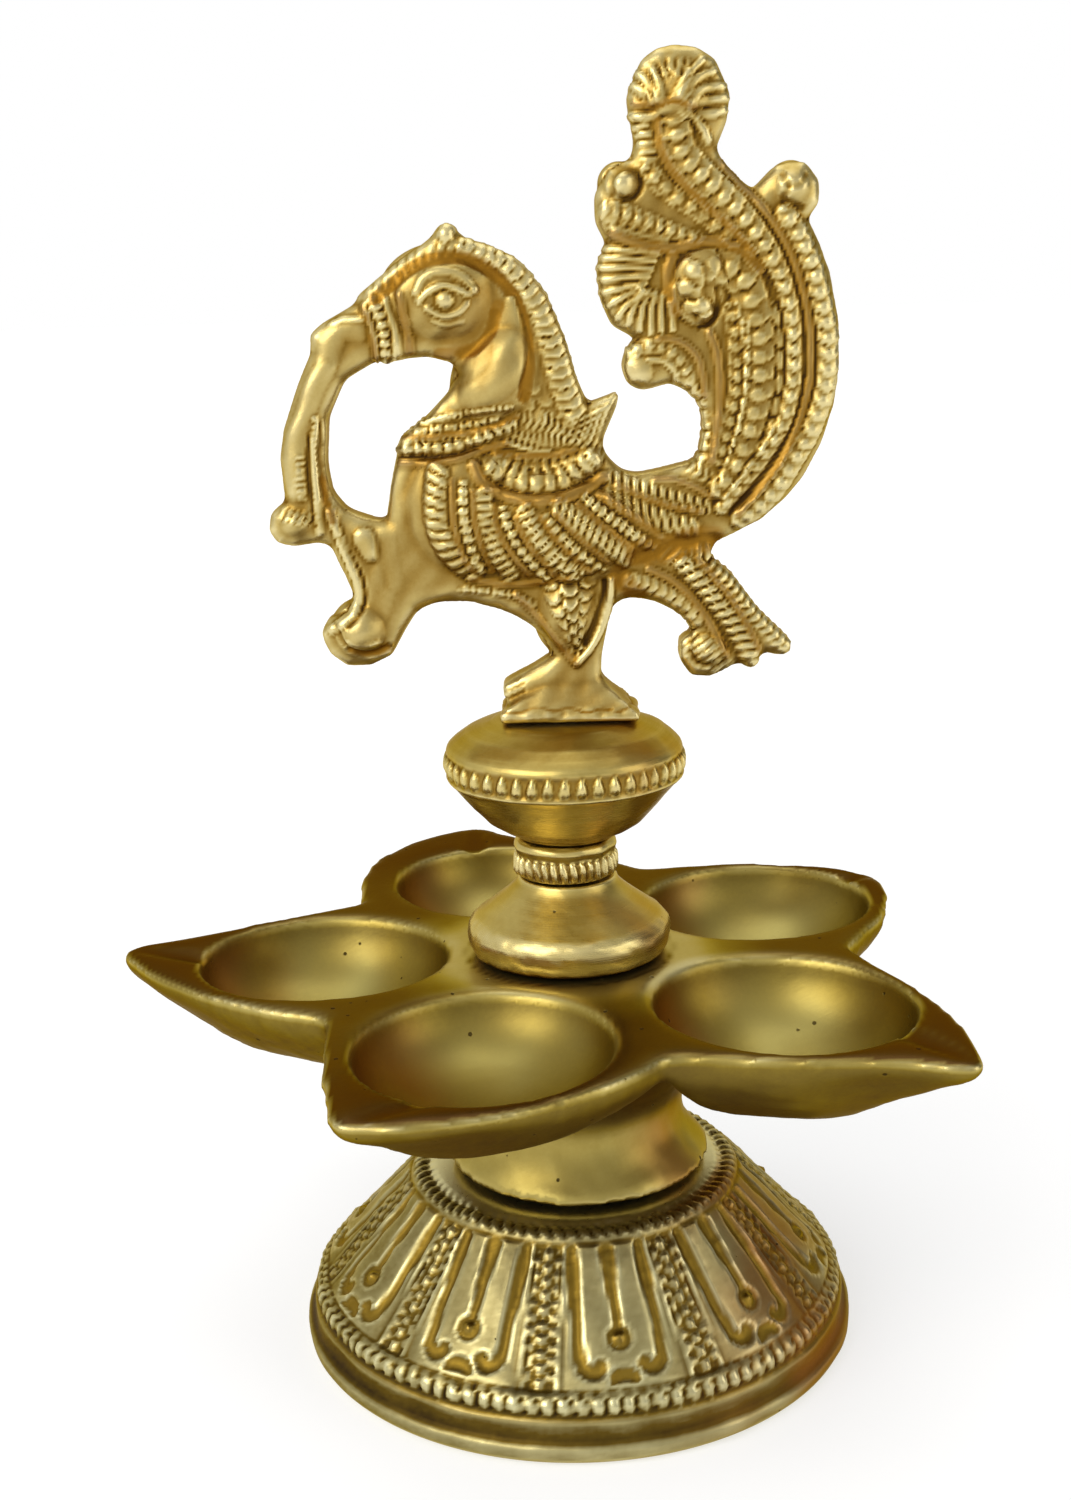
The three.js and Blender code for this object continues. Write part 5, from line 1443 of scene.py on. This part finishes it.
tailRelief = [
    # fan on top
    *[(line, ("band", (0.8, 0.5), 0.42)) for line in (
        [(14.9, 85.4), (14.6, 87.6), (13.6, 89.6)], [(14.2, 85.2), (13.2, 87.4), (11.9, 88.8)],
        [(13.6, 84.9), (12.4, 86.4), (11, 87.2)], [(17.2, 85.6), (18.6, 88), (20.6, 90)],
        [(17.8, 85.5), (19.8, 87.6), (22.4, 88.7)], [(18.6, 85), (20.8, 86.3), (23.6, 86.8)],
        [(19, 84.4), (21.4, 84.9), (24, 85.2)], [(20.4, 83.2), (22.2, 83.2), (23.8, 83.6)])],
    ([(14.8, 89), (16.4, 89.4), (18, 89)], ("rib", 1.6, 0.3, 1.2, 0)),
    ([(13, 90.2), (14.8, 90.6)], ("plain", 1.2, 0.15)),
    ([(10.8, 83.4), (13.2, 83), (15.2, 83.7), (17, 84.2), (19, 83.2), (20.6, 81.4),
      (21.4, 79.8)], ("band", 0.6, 0.5)),
    ([(11.4, 84.8), (14.2, 84.4), (16.6, 85), (19.4, 84.2)], ("orange", 0.5, 0.3)),
    ([(12, 82.4), (12.8, 80.4), (13.4, 78)], ("rib", 1.3, 0.4, 1.15, 0.2)),
    ([(14.6, 82.6), (14.8, 80), (15.6, 77.6), (17.4, 74.9), (19.8, 72.5), (22.6, 70), (25.2, 67.6),
      (27.4, 65)], ("orange", 0.6, 0.4)),
    # strands A and B with a plain line between
    ([(16.9, 81.6), (17.7, 78.6), (19.5, 76.2), (21.6, 74.1), (23.8, 72), (25.7, 70), (27.5, 67.8),
      (29.3, 65.4), (30.9, 62.6), (31.9, 59.8), (32.6, 56.8), (32.9, 53.8), (33, 50.8), (32.9, 48),
      (32.5, 45.4), (31.8, 42.8), (30.7, 40.5), (29.4, 38.4), (27.9, 36.2), (26.3, 34.2), (24.6, 32.2),
      (23, 30.4)], ("band", (2.3, 2.3, 2, 1.4, 1.3, 1.3, 1.2, 1.1), 0.4),
      ("leaf", (2.2, 2.2, 1.9, 1.25, 1.15, 1.15, 1.1, 1), 0.7, 2.15, 0)),
    ([(23, 77), (25.6, 74), (28.4, 71.2), (30.8, 68), (32.7, 64.4), (34, 60.6), (34.9, 56.6), (35.3, 52.4),
      (35.2, 48.2), (34.5, 44.4), (33.3, 40.9), (31.6, 37.4), (29.8, 34.8), (27.4, 31.8),
      (25.2, 29.7)], ("orange", 0.55, 0.45)),
    ([(31.8, 70), (33.3, 67.6), (34.5, 65.2), (35.6, 62.4), (36.4, 59.4), (37.1, 56.4), (37.6, 53.4),
      (37.7, 50.4), (37.5, 47.4), (36.8, 44.6), (35.8, 41.8), (34.5, 39.2), (33, 36.8), (31.5, 34.4),
      (29.8, 32.2), (27.8, 30.2), (25.6, 28.8)], ("band", 1.5, 0.35), ("leaf", 1.45, 0.7, 2.1, 0)),
    # knob
    ([(31.4, 75), (32, 73.4), (31.4, 72), (32.6, 71), (34.2, 70.8)], ("groove", 0.6, 0.5)),
    ([(32, 73.6), (33.6, 73.8), (34.6, 75)], ("groove", 0.5, 0.35)),
    # scales D that curl over at the top
    ([(19.9, 57.4), (18.6, 58.6), (18.3, 60.8), (19.4, 62.8), (21.6, 63.6), (24.2, 62.9), (26.2, 61),
      (27.2, 58.4), (27.8, 55.4), (28.2, 52), (28.2, 48.6), (27.9, 45.4), (27.2, 42.4), (26.4, 39.8),
      (25.4, 37.2), (24.2, 34.8),
      (22.8, 33)], ("band", (2.1, 2.4, 2.6, 2.5, 2.3, 2, 1.6), 0.4),
      ("leaf", (2, 2.3, 2.5, 2.4, 2.2, 1.9, 1.5), 0.7, 2.6, 0)),
    ([(20.6, 57.9), (20.9, 57.2)], ("band", 1.2, 0.5)),
    ([(22.4, 60.4), (22.6, 58), (21.8, 56), (20, 55.4)], ("groove", 0.5, 0.5)),
    ([(30.2, 58), (30.8, 55), (31, 51.6), (31, 48.2), (30.6, 44.8), (29.9, 42), (28.8, 39.4), (27.4, 37),
      (25.9, 34.8)], ("bead", 0.65, 0.55, 3.1, 0)),
    ([(24.4, 57.6), (24.9, 54.8), (25.1, 51.8), (25.2, 48.8), (24.9, 45.8), (24.4, 43), (23.7, 40.2),
      (22.8, 37.4)], ("leaf", 1.25, 0.6, 2.05, 0)),
    ([(26.5, 56), (26.6, 51.4), (26.3, 46.6), (25.4, 42), (24.2, 38.4)], ("bead", 0.4, 0.35, 1.9, 0)),
    ([(21.4, 54.6), (22.4, 51.8), (22.8, 48), (22.7, 44), (22.2, 40.4), (21.6, 37)], ("orange", 0.6, 0.4)),
    ([(8.4, 68), (10.8, 67), (13.6, 66.2), (17, 66), (20.4, 66.6), (23.4, 66.4), (26.2, 65),
      (28.4, 62.8)], ("orange", 0.75, 0.5)),
    ([(16.4, 65), (15.8, 62.6), (16, 60), (16.8, 57.4)], ("orange", 0.8, 0.4)),
    ([(13.4, 76), (15.2, 74), (17.2, 72.4), (19.2, 71.2), (21.2, 69.8), (23.2, 68.2),
      (24.8, 66.8)], ("leaf", 1.3, 0.55, 2.1, 0)),
    # upper left ball and beaded leaf
    ([(8.4, 73.2), (8.4, 75.2), (9.8, 76.6), (11.6, 76.2), (12.2, 74.4), (11.4, 72.8),
      (9.8, 72.4)], ("groove", 0.55, 0.5)),
    ([(10.2, 74.5), (10.4, 74.5)], ("band", 1.7, 0.2)),
    ([(8, 71), (10.4, 70.4), (13, 69.4), (15.4, 68.5), (18, 67.6),
      (20, 67.2)], ("leaf", (1.6, 1.3, 0.9), 0.6, 1.6, 0)),
    ([(8.2, 69), (11.6, 67.9), (15.6, 67)], ("band", 0.5, 0.35)),
    # shell
    *[(line, ("band", (0.5, 0.45), 0.42)) for line in (
        [(14.5, 65.2), (10.4, 65.8), (7.2, 66)], [(14, 64.3), (10, 64.7), (6.6, 64.9)],
        [(13.5, 63.3), (10, 63.5), (6.3, 63.5)], [(13, 62.3), (9.6, 62.2), (6.3, 61.9)],
        [(12.6, 61.4), (9.5, 60.8), (6.6, 60.2)], [(12.2, 60.8), (9.5, 59.6), (7.4, 58.4)],
        [(12.2, 60.3), (10.2, 58.6), (8.7, 56.8)], [(12.6, 60.3), (11, 58.2), (10.2, 55.8)],
        [(13.2, 60.2), (12.2, 58), (11.8, 55)], [(14, 60), (13.4, 57.6), (13.3, 54.8)],
        [(14.9, 59.6), (14.8, 57.2), (14.8, 54.9)], [(15.9, 58.6), (16.2, 56.8), (16.3, 55)])],
    # lower left curl
    ([(11.4, 49.8), (11.8, 49.6)], ("band", 1.9, 0.4)),
    ([(10.8, 52.4), (13, 52.9), (15.2, 52.4), (17, 51), (18, 49.2),
      (18.6, 47)], ("leaf", 1.1, 0.5, 1.7, 0)),
    ([(13, 51.2), (15, 50.8), (16.4, 49.6), (16.9, 48)], ("band", 0.45, 0.4)),
    ([(14.4, 54), (17.4, 53.4), (19.6, 51.4), (20.4, 48.8), (20.8, 46)], ("orange", 0.5, 0.35)),
    ([(19.4, 46.8), (20.2, 44.6), (20.6, 42), (20.6, 39.4), (20, 36.8)], ("bead", 0.8, 0.4, 1.5, 0)),
    ([(19, 36), (20.4, 35), (22, 34.4)], ("twin", 1.1, 0.35, 1.3, 0.6)),
]
frondRelief = [
    ([(10, 20.4), (12.6, 19.7), (15, 18.4), (17.2, 16.7), (19, 14.6)], ("scale", 1.4, 0.65, 1.35, 0.5)),
    ([(12.6, 22), (15.6, 20.5), (18.3, 18.1), (20.6, 15), (22.2, 12), (23.6, 9.2)], ("orange", 0.6, 0.4)),
    ([(17.6, 22.4), (19.8, 20), (21.4, 18), (22.9, 16), (24.3, 14), (25.5, 12), (26.4, 10),
      (27, 8.6)], ("band", 1.4, 0.4), ("rib", 1.5, 0.55, 1.35, 0.3)),
    ([(19.4, 23.4), (21.6, 20.8), (23.6, 18.4), (25.4, 15.6), (27, 12.6),
      (28.2, 10)], ("orange", 0.5, 0.4)),
    ([(20.8, 23), (23, 20.8), (25.2, 18.2), (27.2, 15.6), (29.2, 13.4), (31, 11.4),
      (32.2, 10)], ("twin", 1.5, 0.5, 1.2, 0.5)),
    ([(18.6, 12), (18.2, 10.2), (19.2, 8.4), (21, 8)], ("groove", 0.5, 0.45)),
    ([(18.6, 11.4), (20.6, 9.6), (22.4, 8)], ("rib", 2.4, 0.3, 1.1, 0.5)),
    ([(15.6, 24), (18, 23.2), (20.4, 24.2)], ("rib", 1.5, 0.4, 1.3, 0.6)),
    ([(11, 24.4), (14.5, 24.6), (18.6, 25.8), (21.6, 26)], ("stain", 2.2, 0.9)),
    ([(10, 23.6), (14, 24.4), (18.6, 25.8), (21.6, 26)], ("groove", 1.2, 0.6)),
    ([(8.4, 21.6), (9.6, 19.4), (11, 18.4)], ("stain", 1.6, 0.8)),
]


def birdBody():
    bm = bmesh.new()
    for ring in (bird["outline"], bird["throat"]):
        line = softened(sections(ring + ring[:1], 0.5)[:-1], 2, True)
        verts = [bm.verts.new((x, -bird["thickness"] / 2, z)) for x, z in line]
        for pair in zip(verts, verts[1:] + verts[:1]):
            bm.edges.new(pair)
    bmesh.ops.triangle_fill(bm, edges=bm.edges[:], use_beauty=True)
    thicken(bm, bm.faces[:], (0, bird["thickness"], 0))
    bmesh.ops.recalc_face_normals(bm, faces=bm.faces)
    for x, z, wide, high, thick, tilt in bird["swells"]:
        ball = bmesh.ops.create_uvsphere(bm, u_segments=48, v_segments=32, radius=1)["verts"]
        bmesh.ops.scale(bm, vec=(wide, thick / 2, high), verts=ball)
        turnVerts(bm, ball, math.radians(-tilt), "Y")
        bmesh.ops.translate(bm, vec=(x, 0, z), verts=ball)
    face = bm.faces.new([bm.verts.new((x, -bird["padHalf"], z)) for x, z in bird["pad"]])
    thicken(bm, [face], (0, 2 * bird["padHalf"], 0))
    outer, low, high, taper = bird["padTaper"]
    for v in bm.verts:
        if abs(v.co.y) > outer and low < v.co.z < high:
            v.co.y *= 1 - taper * v.co.z
    bmesh.ops.recalc_face_normals(bm, faces=bm.faces)
    bmesh.ops.translate(bm, vec=(0, 0, bird["foot"]), verts=bm.verts)
    return remesh(meshFrom(bm, "bird_cast"), bird["voxel"], 3)


def rollEdges(co):  # the edges of the plate are rolled in towards front and back
    points = np.vstack([sections(ring + ring[:1], 0.3) for ring in (bird["outline"], bird["throat"])])
    tree = KDTree(len(points))
    for i, (x, z) in enumerate(points):
        tree.insert((x, 0, z + bird["foot"]), i)
    tree.balance()
    gap = np.array([tree.find((x, 0, z))[2] for x, y, z in co])
    t = np.clip(gap / bird["roll"], 0, 1)
    start, run, most = bird["rollFrom"]
    co[:, 1] *= 1 - np.clip((co[:, 2] - start) / run, 0, 1) * most * (1 - np.sqrt(1 - (1 - t) ** 2))


def chaseBird(co, n):  # height and tint of all the ornament
    flat = co.copy()
    flat[:, 1] = 0
    flat[:, 2] -= bird["flat"]
    height, tint = np.zeros(len(co)), np.zeros(len(co))
    for relief in (headRelief, breastRelief, wingRelief, tailRelief, frondRelief):
        chase(flat, relief, height, tint)
    height += uneven(co, bird["uneven"])
    least, start, gain = bird["facing"]
    height *= least + (1 - least) * np.clip((np.abs(n[:, 1]) - start) * gain, 0, 1)
    start, gain = bird["bareBelow"]
    height *= np.clip((co[:, 2] - start) * gain, 0, 1)
    # the foot of the pad is a rough, cracked seam of solder
    seam = bird["seam"]
    low = smoothStep((seam["top"] - co[:, 2]) / seam["fade"]) * (co[:, 2] > seam["low"])
    middle, wide, deep, dark = seam["crack"]
    crack = hump(co[:, 2] - uneven(co, seam["wander"]), middle, wide) * low
    height += low * uneven(co, seam["rough"]) - deep * crack
    return height, np.maximum(tint, dark * crack)


def halve(half, way):  # keeps one side, closed at the middle
    bm = bmesh.new()
    bm.from_mesh(half.data)
    bmesh.ops.bisect_plane(bm, geom=bm.verts[:] + bm.edges[:] + bm.faces[:], dist=1e-5, plane_co=(0, 0, 0),
                           plane_no=(0, way, 0), clear_outer=True, clear_inner=False)
    seam = [e for e in bm.edges if e.is_boundary]
    for edge in seam:
        edge.smooth = False
    bmesh.ops.triangle_fill(bm, edges=seam, use_beauty=True)
    bmesh.ops.recalc_face_normals(bm, faces=bm.faces)
    bm.to_mesh(half.data)
    bm.free()


def makeBird():
    front = birdBody()
    co = places(front.data)
    rollEdges(co)
    setPlaces(front.data, co)
    n = normals(front.data)
    height, tint = chaseBird(co, n)
    setPlaces(front.data, co + n * height[:, None])
    setValues(front.data, "tint", tint)
    markWearAndShade(front, 4, 60, (2.3, 0.45))
    # the two halves of the mould meet at the middle
    back = front.copy()
    back.data = front.data.copy()
    bpy.context.scene.collection.objects.link(back)
    for half, way, name in ((front, 1, "birdFront"), (back, -1, "birdBack")):
        halve(half, way)
        half.name = name
        finishPiece(half, "finial", ["bird"], "cast_brass", castBrass)


makeBird()


# Studio: pale floor, soft boxes, white surroundings

studio = {
    "floor": (0.5, 0.5, 0.5, 1),
    "floorRadius": 6,
    "glow": (0.12, 0.7, 0.55, 0.75),        # distance near and far, strength near and far
    "window": (-0.4, -0.3, 0.35, 0.4),      # brighter to the front left and above, brightness level ahead
    "room": [(0.0, 0.14), (0.3, 0.34), (0.7, 0.8), (1.0, 0.95)],
    "sheet": (0.35, 0.75),                  # where the white sheet behind the lamp starts, in mirrors
    "lamps": [
        # place, aim, size, power, colour
        ((-0.46, -0.50, 0.52), (0, 0, 0.10), (0.6, 0.5), 3.2, (1, 0.98, 0.95)),
        ((0.60, -0.25, 0.30), (0, 0, 0.09), (0.4, 0.5), 1.0, (1, 0.98, 0.95)),
        ((0.05, 0.15, 0.80), (0, 0, 0.06), (0.6, 0.6), 1.2, (1, 1, 1)),
    ],
}


def seenDirectly(tree):  # 1 for what the camera, a mirror or glass sees of the background
    light = add(tree, "ShaderNodeLightPath")
    both = calc(tree, "MAXIMUM", light.outputs["Is Camera Ray"], light.outputs["Is Glossy Ray"])
    return calc(tree, "MAXIMUM", both, light.outputs["Is Transmission Ray"])


def makeFloor():
    bm = bmesh.new()
    bmesh.ops.create_circle(bm, cap_ends=True, segments=64, radius=studio["floorRadius"])
    floor = meshFrom(bm, "floor", smooth=False)
    material, tree = nodesOf("paleFloor")
    coords = add(tree, "ShaderNodeTexCoord").outputs["Object"]
    away = add(tree, "ShaderNodeVectorMath", {0: coords}, operation="LENGTH").outputs["Value"]
    strength = calc(tree, "MULTIPLY", seenDirectly(tree), spread(tree, away, *studio["glow"]))
    paper = add(tree, "ShaderNodeBsdfDiffuse", {"Color": studio["floor"]})
    glow = add(tree, "ShaderNodeEmission", {"Color": grey(1), "Strength": strength})
    both = add(tree, "ShaderNodeAddShader", {0: paper.outputs[0], 1: glow.outputs[0]})
    add(tree, "ShaderNodeOutputMaterial", {0: both.outputs[0]})
    floor.data.materials.append(material)
    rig.stage(floor)


def makeRoom():
    world = bpy.data.worlds.new("studio")
    bpy.context.scene.world = world
    world.use_nodes = True
    tree = world.node_tree
    tree.nodes.clear()
    way = add(tree, "ShaderNodeTexCoord").outputs["Generated"]
    split = add(tree, "ShaderNodeSeparateXYZ", {0: way}).outputs
    toRight, toFar, upward, level = studio["window"]
    window = plus(tree, calc(tree, "MULTIPLY", split[1], toFar), split[0], toRight)
    window = calc(tree, "ADD", plus(tree, window, split[2], upward), level)
    room = ramp(tree, window, [(at, grey(v)) for at, v in studio["room"]])
    # mirrors see the white sheet behind the lamp, as the camera does
    sheet = spread(tree, split[1], *studio["sheet"])
    white = calc(tree, "MULTIPLY", seenDirectly(tree), sheet)
    light = add(tree, "ShaderNodeLightPath")
    share = calc(tree, "MAXIMUM", white, light.outputs["Is Camera Ray"])
    back = add(tree, "ShaderNodeBackground", {
        "Color": blendColour(tree, share, room, grey(1)), "Strength": 1.0})
    add(tree, "ShaderNodeOutputWorld", {0: back.outputs[0]})


def makeLamps():
    for i, (place, aim, size, power, colour) in enumerate(studio["lamps"]):
        data = bpy.data.lights.new("softBox%d" % i, "AREA")
        data.shape, data.size, data.size_y = "RECTANGLE", size[0], size[1]
        data.energy, data.color = power, colour
        lamp = bpy.data.objects.new("softBox%d" % i, data)
        bpy.context.scene.collection.objects.link(lamp)
        lamp.location = place
        lamp.rotation_euler = (Vector(aim) - Vector(place)).to_track_quat("-Z", "Y").to_euler()


makeFloor()
makeRoom()
makeLamps()
bpy.context.scene.view_settings.view_transform = "Standard"
print("studio lit")

low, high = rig.bounds()
with open("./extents.json", "w") as out:
    json.dump({"cad": [list(cadLow), list(cadHigh)], "visual": [list(low), list(high)]}, out)
